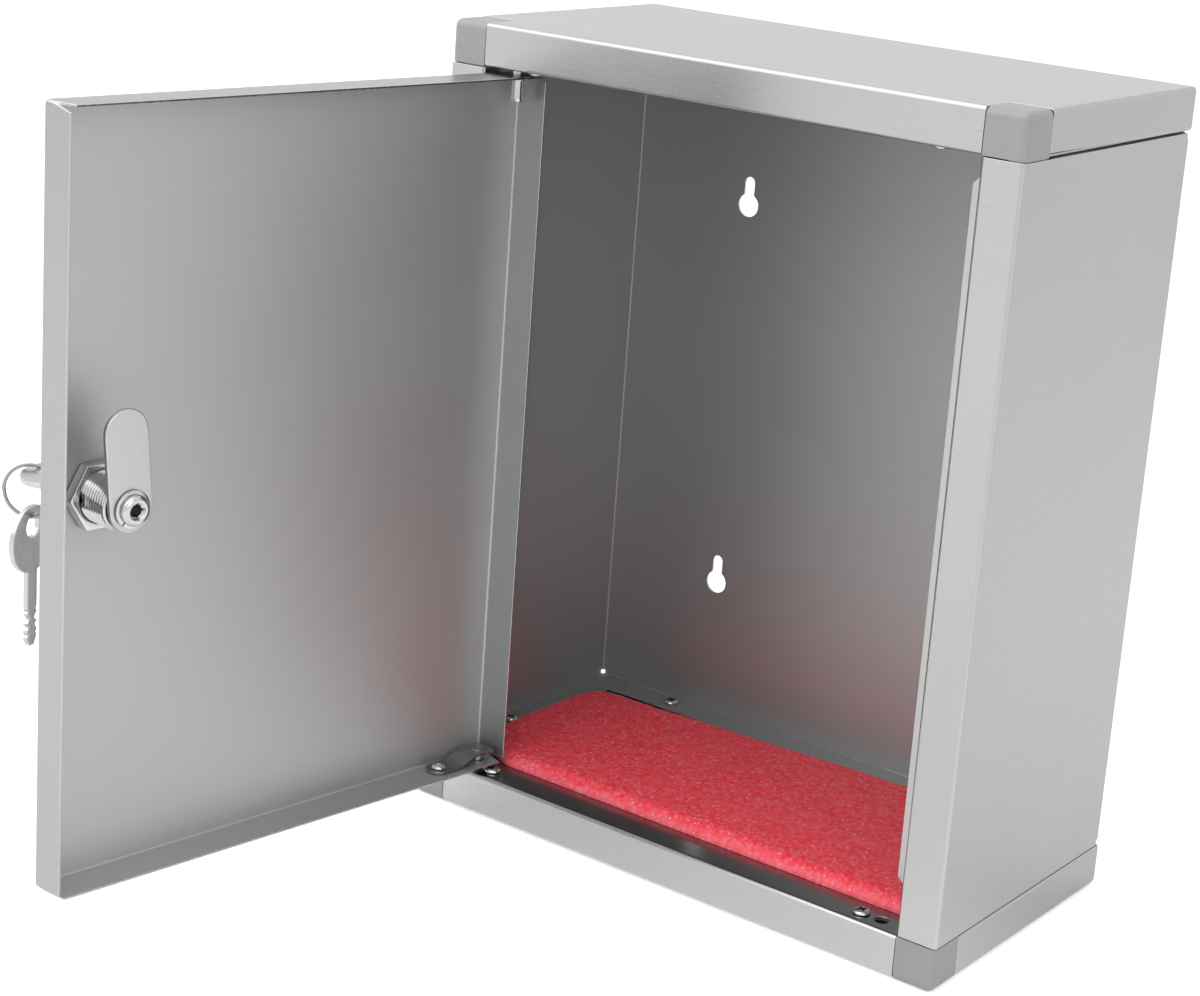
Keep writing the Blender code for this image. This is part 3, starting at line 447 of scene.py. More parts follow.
def close_up(bm):
    """Fills the openings that are left and turns all faces outwards."""
    bmesh.ops.holes_fill(bm, edges=open_edges(bm), sides=0)
    bmesh.ops.recalc_face_normals(bm, faces=bm.faces)


print("piece helpers ready")

# %% [markdown]
# ## The folded case
#
# One strip makes the sides, the back, the stiles and the door stops. A shallow pan closes the floor and
# another the roof. The brushing runs level round the walls, and from side to side on floor and roof. Inside,
# the sheet keeps its mill finish. The joint between the floor pan and the walls is a dark line of painted
# shade. The smoother strip on top of the floor pan is painted darker and cooler, a painted reflection.

# %% Body, floor pan and roof
SHEET_EASE = 0.1 * MM
SIDE_TO_SIDE = (1, 0, 0)
INSIDE = Vector((-124.1, -44.3, 1.0)) * MM, Vector((124.1, 63.1, 318.8)) * MM
STRIP_LOW = 16 * MM
SEAM_SIDE = 123 * MM
SEAM_BACK = 63 * MM
BEND_HALF = 0.7
LEVEL = 0.999
sheet_finishes = (sheet_steel, edge_steel_painted_highlight, mill_steel, strip_steel_painted_dark, raw_edge_painted_shade)
case_sheets = (
    ("folded_body", "body_shell"),
    ("floor_pan", "bottom_pan"),
    ("roof_cover", "top_cover"),
)


def on_strip(spot, normal):
    """True on top of the floor pan, which is smoother and shows as a strip in front of the foam. Its finish
    is painted dark for the dark inside that it mirrors, and cooler against the red that the foam casts in it.
    """
    return normal.z > FACING and spot.z > STRIP_LOW


def in_seam_painted_shade(spot, normal):
    """True on the upper half of the floor pan's bend, in the joint under the walls, which is painted dark as
    shade.
    """
    under_wall = abs(spot.x) > SEAM_SIDE or spot.y > SEAM_BACK
    return under_wall and spot.z > STRIP_LOW and BEND_HALF < normal.z < LEVEL


for name, node in case_sheets:
    bm = merged_copy(node)
    lay_grain(bm, SIDE_TO_SIDE)
    mark_mill_side(bm, *INSIDE)
    if node == "bottom_pan":
        # The strip on the floor pan gets its painted reflection.
        mark_faces(bm, SPECIAL_SIDE, on_strip)
        # Painted shade in the joint under the walls.
        mark_faces(bm, SHADE_PAINTED_EDGE, in_seam_painted_shade)
    piece = make_piece(name, bm, "cabinet", sheet_finishes, (node,))
    # The eased edges take the lighter edge finish, a painted highlight.
    ease_edges(piece, SHEET_EASE, finish=HIGHLIGHT_PAINTED_EDGE)
    print(name, len(piece.data.polygons), "faces")

# %% [markdown]
# ## The door
#
# The door is a tray with a flange on all four sides. It hangs on the hinge body, so its grain follows the
# door's own width, also on the two level flanges. The frame's hinge gives the turn of the open door. Inside
# it has the mill finish, painted lighter than inside the body for the light that falls on it. The flanges at
# its two ends are smoother, and the raw edge along its top is painted dark as the shade under the flange.

# %% Door tray
DOOR_OPEN = 98
PIVOT = Vector((-97.7, -56.3, 0)) * MM
HINGE = Matrix.Translation(PIVOT) @ Matrix.Rotation(radians(-DOOR_OPEN), 4, "Z")
TRAY = Vector((-6.8, -6.8, 19.5)) * MM, Vector((203.4, 8.1, 300.3)) * MM
TOP_EDGE_FROM = 300 * MM
FREE_SIDE_FROM = 200 * MM
door_width_direction = HINGE.to_3x3() @ Vector((1, 0, 0))
door_depth_direction = HINGE.to_3x3() @ Vector((0, 1, 0))
to_hinge = HINGE.inverted()


def on_flange(spot, normal):
    """True on the inside of the hinge side's flange and on the outside of the free side's flange."""
    across = (to_hinge @ spot).x
    return normal.dot(door_width_direction) > FACING and (across < 0 or across > FREE_SIDE_FROM)


def on_top_edge_painted_shade(spot, normal):
    """True on the raw edge of the top flange, which is painted dark as the shade under the flange."""
    return normal.dot(door_depth_direction) > FACING and spot.z > TOP_EDGE_FROM


bm = merged_copy("door")
lay_grain(bm, door_width_direction)
mark_mill_side(bm, *TRAY, HINGE)
mark_faces(bm, SPECIAL_SIDE, on_flange)
# Painted shade on the raw edge along the door's top.
mark_faces(bm, SHADE_PAINTED_EDGE, on_top_edge_painted_shade)
# The door's third finish is the mill finish painted lighter.
door_finishes = (sheet_steel, edge_steel_painted_highlight, door_mill_painted_lighter, flange_steel, raw_edge_painted_shade)
door = make_piece("door_tray", bm, "door_leaf", door_finishes, ("door",))
# The door's eased edges take the lighter edge finish, a painted highlight.
ease_edges(door, SHEET_EASE, finish=HIGHLIGHT_PAINTED_EDGE)
print("door_tray", len(door.data.polygons), "faces")

# %% [markdown]
# ## Corner caps
#
# The caps are moulded in grey plastic. Such a part has a fine spark-eroded texture, a slight mottle where
# the melt met, and eased edges. The walls of the bores for the hinge pins are painted near black as shade,
# also on the side where no door hangs.

# %% Cap plastic and caps
PORES = (2600, 2600, 2600)
FLOW = (90, 90, 140)
TONE_RANGE = 0.012


def moulded_plastic(name, tone, roughness):
    """Plastic with fine pores over a slow mottle."""
    material, tree, shader = new_finish(name, 0.0)
    spot = add_node(tree, "TexCoord")
    pores = noise_on(tree, spot.outputs["Object"], PORES, 2)
    flow = noise_on(tree, spot.outputs["Object"], FLOW, 4)
    speckle = spread(tree, pores, -TONE_RANGE, TONE_RANGE)
    shade = blend_sockets(tree, "ADD", speckle, spread(tree, flow, tone - TONE_RANGE, tone + TONE_RANGE))
    join(tree, grey_from(tree, shade), shader.inputs["Base Color"])
    rough = blend_sockets(
        tree, "ADD", spread(tree, pores, -0.04, 0.04), spread(tree, flow, roughness - 0.05, roughness + 0.05)
    )
    join(tree, rough, shader.inputs["Roughness"])
    roughen(tree, shader, pores, 0.03 * MM, 0.35)
    return material


BORE_REACH = 3.0 * MM


def in_pin_bore(spot, normal):
    """True on the upright wall of a bore for a hinge pin, left or right, which is painted dark as shade."""
    from_axis = Vector((-abs(spot.x) - PIVOT.x, spot.y - PIVOT.y))
    return abs(normal.z) < 0.5 and from_axis.length < BORE_REACH


cap_plastic = moulded_plastic("grey_moulded_plastic", 0.305, 0.48)
# Painted shade: a near black plastic for the walls of the pin bores.
bore_painted_shade = moulded_plastic("bore_shade_paint", 0.025, 0.4)
cap_finishes = (cap_plastic, bore_painted_shade)
CAP_EASE = 0.18 * MM
for level_name in ("bottom", "top"):
    for side in ("left", "right"):
        node = f"{level_name}_cap_{side}"
        bm = merged_copy(node)
        mark_faces(bm, SECOND_FINISH, in_pin_bore)
        cap = make_piece(f"moulded_{node}", bm, "cabinet", cap_finishes, (node,))
        ease_edges(cap, CAP_EASE)
print("four caps")

# %% [markdown]
# ## Plated metal
#
# Screws, lock, keys and ring are plated. Nickel is a little warm and nearly a mirror. Its surface is never
# quite even: fine pits change the gloss, and small scratches cross each other. The cam is zinc plated, which
# is greyer and softer.

# %% Finishes of the small metal parts
SCRATCHES = (300, 5200, 700)
CROSS_SCRATCHES = (5200, 420, 500)
PIT_TONE = 0.9


def plated_metal(name, colour, roughness, pit_size, scratch):
    """Plated finish: colour at full gloss, pit_size in metres, scratch from 0 to 1."""
    material, tree, shader = new_finish(name, 1.0)
    spot = add_node(tree, "TexCoord")
    pits = noise_on(tree, spot.outputs["Object"], (1 / pit_size,) * 3, 3)
    lines = noise_on(tree, spot.outputs["Object"], SCRATCHES, 2)
    cross = noise_on(tree, spot.outputs["Object"], CROSS_SCRATCHES, 2)
    wear = blend_sockets(tree, "MULTIPLY", lines, cross)
    deep = [part * PIT_TONE for part in colour]
    tint = add_node(tree, "MixRGB", {"Color1": (*deep, 1), "Color2": (*colour, 1)})
    join(tree, spread(tree, pits, 0.0, 1.0), tint.inputs["Fac"])
    join(tree, tint.outputs["Color"], shader.inputs["Base Color"])
    rough = blend_sockets(
        tree,
        "ADD",
        spread(tree, pits, roughness - 0.03, roughness + 0.04),
        spread(tree, wear, 0.0, 0.1 * scratch, 0.25, 0.45),
    )
    join(tree, rough, shader.inputs["Roughness"])
    roughen(tree, shader, wear, 0.01 * MM, 0.4 * scratch)
    return material


nickel = plated_metal("bright_nickel", (0.62, 0.62, 0.61), 0.17, 1.1 * MM, 0.5)
screw_zinc = plated_metal("bright_zinc", (0.68, 0.68, 0.67), 0.2, 0.8 * MM, 0.8)
cam_zinc = plated_metal("satin_zinc", (0.57, 0.57, 0.565), 0.32, 0.7 * MM, 1.0)
key_nickel = plated_metal("handled_nickel", (0.58, 0.575, 0.565), 0.3, 2.5 * MM, 0.3)
ring_steel = plated_metal("spring_wire", (0.36, 0.36, 0.36), 0.26, 2.0 * MM, 0.3)
strap_steel = plated_metal("spring_steel", (0.3, 0.3, 0.3), 0.34, 2.0 * MM, 0.5)
# Painted shade: a near black finish for the depth of the screw recesses.
recess_painted_shade = plated_metal("recess_shade_paint", (0.03, 0.03, 0.03), 0.5, 0.6 * MM, 0.3)
plug_brass = plated_metal("plug_brass", (0.66, 0.53, 0.3), 0.26, 0.8 * MM, 0.8)
print("plated finishes:", nickel.name, screw_zinc.name, cam_zinc.name, key_nickel.name, plug_brass.name)

# %% [markdown]
# ## Screws
#
# Twelve pan head screws hold the pans to the body. A turned shape is quickest as a profile that is spun
# round its axis. The cross recess is a second shape cut out of it: two tapered bars. Each screw stopped at
# its own turn when it was driven, so the recesses of neighbours don't line up.

# %% A pan head screw
def spun(profile, sides, closed=False):
    """Spins (radius, height) points round Z. A closed profile gives a ring or a tube."""
    bm = bmesh.new()
    verts = [bm.verts.new((radius * MM, 0, height * MM)) for radius, height in profile]
    edges = [bm.edges.new(pair) for pair in zip(verts, verts[1:])]
    if closed:
        edges.append(bm.edges.new((verts[-1], verts[0])))
    bmesh.ops.spin(
        bm, geom=verts + edges, cent=(0, 0, 0), axis=(0, 0, 1), angle=2 * pi, steps=sides, use_merge=True
    )
    bmesh.ops.remove_doubles(bm, verts=bm.verts, dist=MERGE_DISTANCE)
    bmesh.ops.recalc_face_normals(bm, faces=bm.faces)
    return bm


def bowed(radius, low, high, steps=7):
    """Points of a dome from its rim towards its middle, in millimetres."""
    angles = [radians(90 * step / (steps + 0.5)) for step in range(steps + 1)]
    return [(radius * cos(angle), low + (high - low) * sin(angle)) for angle in angles]


def holder_of(name, bm):
    """Object for a shape that is needed only while it is cut."""
    mesh = bpy.data.meshes.new(name)
    bm.to_mesh(mesh)
    bm.free()
    holder = bpy.data.objects.new(name, mesh)
    scene.collection.objects.link(holder)
    return holder


def carved(blank, tool):
    """Cuts one closed shape out of another and returns what is left."""
    stock = holder_of("stock", blank)
    cutter = holder_of("cutter", tool)
    cut = stock.modifiers.new("cut", "BOOLEAN")
    cut.operation = "DIFFERENCE"
    cut.object = cutter
    graph = bpy.context.evaluated_depsgraph_get()
    result = bmesh.new()
    result.from_object(stock, graph)
    for obj in (stock, cutter):
        bpy.data.objects.remove(obj, do_unlink=True)
    bmesh.ops.remove_doubles(result, verts=result.verts, dist=MERGE_DISTANCE)
    return result


def tapered_bar(half_length, half_width, low, high, taper):
    """Bar along X whose lower end is smaller, in millimetres."""
    bm = bmesh.new()
    bmesh.ops.create_cube(bm, size=2)
    bmesh.ops.scale(bm, verts=bm.verts, vec=(half_length * MM, half_width * MM, (high - low) / 2 * MM))
    bmesh.ops.translate(bm, verts=bm.verts, vec=(0, 0, (low + high) / 2 * MM))
    foot = [vert for vert in bm.verts if vert.co.z < (low + high) / 2 * MM]
    bmesh.ops.scale(bm, verts=foot, vec=(taper, taper, 1))
    return bm


def cross_cut(blank, half_length, half_width, low, high, taper):
    """Cuts two tapered bars out of a blank, one across the other."""
    for turn in (0, pi / 2):
        bar = tapered_bar(half_length, half_width, low, high, taper)
        bmesh.ops.rotate(bar, verts=bar.verts, cent=(0, 0, 0), matrix=Matrix.Rotation(turn, 3, "Z"))
        blank = carved(blank, bar)
    return blank


def paint_recess_shade(bm, reach, top):
    """Gives the second finish to faces inside a radius and below a height: painted shade deep in a recess."""
    for face in bm.faces:
        spot = face.calc_center_median() / MM
        if spot.xy.length < reach and spot.z < top:
            face.material_index = SECOND_FINISH


HEAD_HEIGHT = 1.3
SCREW_SIDES = 32
RECESS = {"half_length": 2.5, "half_width": 0.75, "low": 0.25, "high": 2.4, "taper": 0.6}
RECESS_SHADE_REACH = 2.4
RECESS_SHADE_TOP = 1.02
screw_profile = [(0, HEAD_HEIGHT), (2.1, HEAD_HEIGHT - 0.05), (2.7, HEAD_HEIGHT - 0.2)]
screw_profile += [(3.1, HEAD_HEIGHT - 0.5), (3.33, HEAD_HEIGHT - 0.85), (3.4, 0.1), (3.25, 0)]
screw_profile += [(1.5, 0), (1.5, -5.5), (0.5, -7), (0, -7)]
screw_blank = cross_cut(spun(screw_profile, SCREW_SIDES), **RECESS)
# The bottom of the cross recess gets painted shade.
paint_recess_shade(screw_blank, RECESS_SHADE_REACH, RECESS_SHADE_TOP)
print("screw blank", len(screw_blank.faces), "faces")

# %% Twelve screws in place
SPOTS = ("front_left", "front_right", "left", "right", "back_left", "back_right")
SCREW_EASE = 0.05 * MM
FIRST_TURN = 23
NEXT_TURN = 31
for index, spot in enumerate(SPOTS):
    for group, upside in (("floor", False), ("roof", True)):
        node = f"{group}_screw_{spot}"
        low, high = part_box(node)
        middle = (low + high) / 2
        seat = low.z + HEAD_HEIGHT * MM if upside else high.z - HEAD_HEIGHT * MM
        stand = Matrix.Translation((middle.x, middle.y, seat))
        if upside:
            stand = stand @ Matrix.Rotation(pi, 4, "X")
        turn = Matrix.Rotation(radians(FIRST_TURN + NEXT_TURN * index), 4, "Z")
        bm = screw_blank.copy()
        bmesh.ops.transform(bm, matrix=stand @ turn, verts=bm.verts)
        name = f"pan_head_{group}_{spot}"
        screw = make_piece(name, bm, "cabinet", (screw_zinc, recess_painted_shade), (node,))
        ease_edges(screw, SCREW_EASE, segments=1)
screw_blank.free()
print("twelve screws")

# %% [markdown]
# ## Hinge
#
# The door turns on two pins. The lower one sits in a leaf spring that is riveted to the door's floor flange:
# it lies flat under its rivet, bows up and runs level to the pin. The leaf starts as a grid, because a grid
# has enough rows to bend smoothly, and its ends are drawn in to a round.

# %% The leaf spring
LEAF = {"start": -5.2, "end": 25.8, "half": 5.0, "thick": 0.9, "low": 19.7, "rise": 3.2}
TIP_ROUND = 1.8
TAIL_ROUND = 4.6
LEAF_FLAT_FROM = 16.5
LEAF_LEVEL_FROM = 2.5
RIVET_PLACE = 20.8
PIN_BORE = 2.7
RIVET_BORE = 1.6
LEAF_CELLS = (64, 8)
BELOW_LEAF = 15
ABOVE_LEAF = 30
LEAF_EASE = 0.12 * MM


def leaf_height(along):
    """Rise of the leaf, in millimetres, at a distance from the hinge axis."""
    part = (LEAF_FLAT_FROM - along) / (LEAF_FLAT_FROM - LEAF_LEVEL_FROM)
    part = min(max(part, 0), 1)
    return LEAF["rise"] * (1 - cos(pi * part)) / 2


def leaf_half_width(along):
    """Half of the leaf's width, drawn in at both ends."""
    tip = TIP_ROUND - min(along - LEAF["start"], TIP_ROUND)
    tail = TAIL_ROUND - min(LEAF["end"] - along, TAIL_ROUND)
    drawn_in = TIP_ROUND - sqrt(max(TIP_ROUND**2 - tip**2, 0))
    drawn_in += TAIL_ROUND - sqrt(max(TAIL_ROUND**2 - tail**2, 0))
    return LEAF["half"] - drawn_in


def upright_bar(place, radius, low, high, sides=32):
    """Round bar along Z to cut a hole with, in millimetres."""
    bm = bmesh.new()
    bmesh.ops.create_cone(
        bm, cap_ends=True, segments=sides, radius1=radius * MM, radius2=radius * MM, depth=(high - low) * MM
    )
    bmesh.ops.translate(bm, verts=bm.verts, vec=(place * MM, 0, (low + high) / 2 * MM))
    return bm


bm = bmesh.new()
bmesh.ops.create_grid(bm, x_segments=LEAF_CELLS[0], y_segments=LEAF_CELLS[1], size=0.5)
for vert in bm.verts:
    part = vert.co.x + 0.5
    eased = (1 - cos(pi * part)) / 2
    along = LEAF["start"] + (LEAF["end"] - LEAF["start"]) * eased
    height = LEAF["low"] + leaf_height(along)
    vert.co = Vector((along, 2 * vert.co.y * leaf_half_width(along), height)) * MM
bmesh.ops.recalc_face_normals(bm, faces=bm.faces)
grown = bmesh.ops.extrude_face_region(bm, geom=bm.faces[:])
bmesh.ops.translate(bm, verts=new_points(grown), vec=(0, 0, LEAF["thick"] * MM))
bmesh.ops.recalc_face_normals(bm, faces=bm.faces)
bm = carved(bm, upright_bar(0, PIN_BORE, BELOW_LEAF, ABOVE_LEAF))
bm = carved(bm, upright_bar(RIVET_PLACE, RIVET_BORE, BELOW_LEAF, ABOVE_LEAF))
bmesh.ops.transform(bm, matrix=HINGE, verts=bm.verts)
leaf = make_piece("hinge_leaf", bm, "door_leaf", (strap_steel,), ("bottom_hinge_strap",))
ease_edges(leaf, LEAF_EASE)
print("hinge_leaf", len(leaf.data.polygons), "faces")

# %% Rivet and pins
RIVET_SEAT = 20.9
DOOR_FLOOR = 18.6
TURNED_SIDES = 32
rivet_profile = [(0, RIVET_SEAT + 0.75), (0.55, RIVET_SEAT + 0.78), (0.95, RIVET_SEAT + 1.12)]
rivet_profile += [(1.4, RIVET_SEAT + 1.2)]
rivet_profile += [point for point in bowed(2.9, RIVET_SEAT, RIVET_SEAT + 1.25)[::-1] if point[0] > 1.6]
rivet_profile += [(1.3, RIVET_SEAT), (1.3, DOOR_FLOOR), (0, DOOR_FLOOR)]
bm = spun(rivet_profile, TURNED_SIDES)
bmesh.ops.translate(bm, verts=bm.verts, vec=(RIVET_PLACE * MM, 0, 0))
bmesh.ops.transform(bm, matrix=HINGE, verts=bm.verts)
make_piece("leaf_rivet", bm, "door_leaf", (screw_zinc,), ("strap_rivet",))

LEAF_TOP = 23.8
PIN_HEAD_DEPTH = 0.5
LOW_PIN_EASE = 0.1 * MM
TOP_PIN_EASE = 0.15 * MM
pin_profile = [(0, LEAF_TOP + 0.4), (1.3, LEAF_TOP + 0.36), (2.2, LEAF_TOP + 0.2), (2.6, LEAF_TOP - 0.05)]
pin_profile += [(2.6, 22.6), (3.5, 22.6), (3.5, 21.5), (2.4, 21.5), (2.4, 12.1), (1.9, 11.6), (0, 11.6)]
bm = spun(pin_profile, TURNED_SIDES)
for face in bm.faces:
    if face.calc_center_median().z > (LEAF_TOP - PIN_HEAD_DEPTH) * MM:
        face.material_index = SECOND_FINISH
bmesh.ops.transform(bm, matrix=HINGE, verts=bm.verts)
pin_finishes = (nickel, strap_steel)
low_pin = make_piece(
    "flush_hinge_pin", bm, "door_leaf", pin_finishes, ("bottom_hinge_pin",)
)
ease_edges(low_pin, LOW_PIN_EASE)
bm = merged_copy("top_hinge_pin")
top_pin = make_piece("turned_hinge_pin", bm, "door_leaf", (nickel,), ("top_hinge_pin",))
ease_edges(top_pin, TOP_PIN_EASE)
print("rivet and two pins")

# %% [markdown]
# ## Lock barrel
#
# The barrel is a tube with a bezel outside the door and a thread inside. A real thread is one ridge that
# climbs as it goes round, and spin can climb too: it moves its profile a little along the axis at each step.
# Two flats run down the sides, so that the lock can't turn in its hole; they are pressed in by moving the
# points that stand too far out.

# %% Threaded barrel
LOCK_PLACE = Vector((181.8, -7.7, 162.1)) * MM
LOCK = HINGE @ Matrix.Translation(LOCK_PLACE)
INTO_DOOR = Matrix.Rotation(-pi / 2, 4, "X")
BORE = 6.8
CORE = 8.9
CREST = 9.5
FLAT_AT = 8.95
BARREL_END = 19.0
PITCH = 1.5
TURNS = 11
STEPS_PER_TURN = 48
BARREL_SIDES = 64
END_GAP = 0.7
RIDGE_LENGTH = 0.7


def closed_outline(points):
    """New bmesh with a closed outline through (radius, height) points, in millimetres."""
    bm = bmesh.new()
    verts = [bm.verts.new((radius * MM, 0, height * MM)) for radius, height in points]
    for index in range(len(verts)):
        bm.edges.new((verts[index - 1], verts[index]))
    return bm


def wind(bm, climb, angle, steps):
    """Spins an outline round Z and lifts it by climb, in millimetres, at each step."""
    bmesh.ops.spin(
        bm,
        geom=bm.verts[:] + bm.edges[:],
        cent=(0, 0, 0),
        axis=(0, 0, 1),
        dvec=(0, 0, climb * MM),
        angle=angle,
        steps=steps,
    )


bezel = [(BORE, -2.9), (BORE + 0.4, -2.9), (BORE + 0.6, -2.7), (9.6, -2.7)]
bezel += [(10.3, -2.5), (10.9, -2.05), (11.2, -1.5), (11.3, -0.9), (11.3, -0.3)]
tube = [(CORE, -0.3), (CORE, BARREL_END - 0.6), (CORE - 0.6, BARREL_END), (BORE, BARREL_END)]
bm = spun(bezel + tube, BARREL_SIDES, closed=True)
start = BARREL_END - END_GAP - PITCH * (TURNS + RIDGE_LENGTH)
corners = [(CORE - 0.1, start), (CREST, start + 0.33 * PITCH), (CREST, start + 0.4 * PITCH)]
corners += [(CORE - 0.1, start + 0.73 * PITCH)]
ridge = closed_outline(corners)
wind(ridge, PITCH / STEPS_PER_TURN, 2 * pi * TURNS, TURNS * STEPS_PER_TURN)
bmesh.ops.remove_doubles(ridge, verts=ridge.verts, dist=MERGE_DISTANCE)
close_up(ridge)
ridge_mesh = bpy.data.meshes.new("thread_ridge")
ridge.to_mesh(ridge_mesh)
ridge.free()
bm.from_mesh(ridge_mesh)
bpy.data.meshes.remove(ridge_mesh)
for vert in bm.verts:
    if vert.co.z > 0:
        vert.co.x = min(max(vert.co.x, -FLAT_AT * MM), FLAT_AT * MM)
bmesh.ops.transform(bm, matrix=LOCK @ INTO_DOOR, verts=bm.verts)
barrel = make_piece("threaded_barrel", bm, "door_leaf", (nickel,), ("lock_barrel",))
print("threaded_barrel", len(barrel.data.polygons), "faces")

# %% [markdown]
# ## Lock nut
#
# A hexagon with a round bore: both outlines get the same number of points, so bridging them gives one clean
# ring of faces. The ring is pulled up to its height and its edges are broken, which gives the bright lines
# round each flat.

# %% Hexagon nut
NUT_CORNER = 23.5 / sqrt(3)
NUT_BORE = 9.8
NUT_LOW = 1.1
NUT_THICK = 4.6
NUT_SIDES = 6
POINTS_PER_SIDE = 8
NUT_EASE = 0.4
SHARP_ANGLE = 40


def break_edges(bm, width, segments):
    """Bevels the sharp edges by a width in millimetres."""
    sharp = [edge for edge in bm.edges if edge.calc_face_angle(0) > radians(SHARP_ANGLE)]
    bmesh.ops.bevel(
        bm, geom=sharp, offset=width * MM, segments=segments, profile=0.5, affect="EDGES", material=-1
    )


bm = bmesh.new()
bmesh.ops.create_circle(bm, segments=NUT_SIDES, radius=NUT_CORNER * MM)
bmesh.ops.subdivide_edges(bm, edges=bm.edges[:], cuts=POINTS_PER_SIDE - 1)
bmesh.ops.create_circle(bm, segments=NUT_SIDES * POINTS_PER_SIDE, radius=NUT_BORE * MM)
bmesh.ops.bridge_loops(bm, edges=bm.edges[:])
bmesh.ops.rotate(bm, verts=bm.verts, cent=(0, 0, 0), matrix=Matrix.Rotation(pi / 2, 3, "Z"))
bmesh.ops.translate(bm, verts=bm.verts, vec=(0, 0, NUT_LOW * MM))
grown = bmesh.ops.extrude_face_region(bm, geom=bm.faces[:])
bmesh.ops.translate(bm, verts=new_points(grown), vec=(0, 0, NUT_THICK * MM))
bmesh.ops.recalc_face_normals(bm, faces=bm.faces)
break_edges(bm, NUT_EASE, 3)
bmesh.ops.transform(bm, matrix=LOCK @ INTO_DOOR, verts=bm.verts)
nut = make_piece("hexagon_nut", bm, "door_leaf", (nickel,), ("lock_nut",))
print("hexagon_nut", len(nut.data.polygons), "faces")

# %% [markdown]
# ## Plug, cam and their screw
#
# The plug turns in the barrel and carries the cam on a square tail. The cam is stamped from plate and
# tumbled, so its edges are round. A split spring washer and a domed screw with a cross recess hold it.

# %% Plug, wafers and cam
LOCK_LEAN = 5
TURNED = LOCK @ Matrix.Rotation(radians(LOCK_LEAN), 4, "Y")
PLUG_EASE = 0.1 * MM
CAM_EASE = 0.4 * MM
WAFERS = 4
bm = merged_copy("lock_plug")
plug = make_piece("brass_plug", bm, "lock_core", (plug_brass,), ("lock_plug",))
ease_edges(plug, PLUG_EASE)
for index in range(1, WAFERS + 1):
    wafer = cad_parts[f"lock_wafer_{index}"]
    wafer.data.materials.clear()
    wafer.data.materials.append(plug_brass)
bm = merged_copy("lock_cam")
cam = make_piece("stamped_cam", bm, "lock_core", (cam_zinc,), ("lock_cam",))
ease_edges(cam, CAM_EASE, segments=4)
print("plug, wafers and cam")

# %% Spring washer and cam screw
WASHER_LOW = 22.9
WASHER_THICK = 0.8
WASHER_STEPS = 60
WASHER_SPLIT = 8
SPLIT_AT = -45
WASHER_RISE = 0.2
WASHER_INSIDE = 2.6
WASHER_OUTSIDE = 6.9
WASHER_EASE = 0.15
section = [(WASHER_INSIDE, 0), (WASHER_OUTSIDE, 0)]
section += [(WASHER_OUTSIDE, WASHER_THICK), (WASHER_INSIDE, WASHER_THICK)]
bm = closed_outline(section)
wind(bm, WASHER_RISE / WASHER_STEPS, radians(360 - WASHER_SPLIT), WASHER_STEPS)
close_up(bm)
break_edges(bm, WASHER_EASE, 2)
split_turn = Matrix.Rotation(radians(WASHER_SPLIT / 2 - SPLIT_AT), 4, "Z")
lift_washer = Matrix.Translation((0, 0, (WASHER_LOW - WASHER_RISE / 2) * MM))
bmesh.ops.transform(bm, matrix=TURNED @ INTO_DOOR @ lift_washer @ split_turn, verts=bm.verts)
make_piece("split_washer", bm, "lock_core", (nickel,), ("cam_washer",))

SCREW_SEAT = 24.0
SCREW_TOP = 26.6
SOCKET = 2.1
SOCKET_DEPTH = 0.9
CAM_SCREW_SIDES = 64
CAM_SCREW_EASE = 0.12 * MM
CROSS = {"half_length": 3.7, "half_width": 0.75, "low": SCREW_TOP - 1.3, "high": SCREW_TOP + 1, "taper": 0.7}
cam_profile = [(0, SCREW_TOP - 2.1), (1.5, SCREW_TOP - 2.0), (SOCKET, SCREW_TOP - 1.1)]
cam_profile += [(2.9, SCREW_TOP - 0.25), (3.4, SCREW_TOP), (4.3, SCREW_TOP - 0.12)]
cam_profile += [(5.1, SCREW_TOP - 0.5), (5.5, SCREW_TOP - 1.0), (5.6, SCREW_TOP - 1.5)]
cam_profile += [(5.6, SCREW_SEAT + 0.15)]
cam_profile += [(5.45, SCREW_SEAT), (1.5, SCREW_SEAT), (1.5, 20.4), (0, 20.4)]
bm = cross_cut(spun(cam_profile, CAM_SCREW_SIDES), **CROSS)
# The socket of the cam screw gets painted shade.
paint_recess_shade(bm, SOCKET, SCREW_TOP - SOCKET_DEPTH)
bmesh.ops.transform(bm, matrix=TURNED @ INTO_DOOR, verts=bm.verts)
cam_screw = make_piece(
    "domed_cam_screw", bm, "lock_core", (nickel, recess_painted_shade), ("cam_screw",)
)
ease_edges(cam_screw, CAM_SCREW_EASE)
print("split washer and cam screw")

# %% [markdown]
# ## Keys and ring
#
# A key is stamped from nickel silver and coined: the die leaves a raised rim round bow and blade. Insetting
# the two flat faces makes that rim. The ring is spring wire that goes round twice, so it is spun for two
# turns with a small climb, which shows the line between its coils.

# %% Two keys
RIM_WIDTH = 0.8 * MM
RIM_HEIGHT = 0.22 * MM
KEY_EASE = 0.14 * MM


def coined_key(name, node, body):
    """Key with a raised rim round its two broad faces."""
    bm = merged_copy(node)
    broadest = max(bm.faces, key=lambda face: face.calc_area())
    facing = broadest.normal.copy()
    flats = [face for face in bm.faces if abs(face.normal.dot(facing)) > LEVEL]
    bmesh.ops.inset_region(
        bm, faces=flats, thickness=RIM_WIDTH, depth=-RIM_HEIGHT, use_even_offset=True, use_boundary=True
    )
    key = make_piece(name, bm, body, (key_nickel,), (node,))
    ease_edges(key, KEY_EASE)


coined_key("coined_lock_key", "lock_key", "key")
coined_key("coined_spare_key", "spare_key", "spare")
print("two keys")

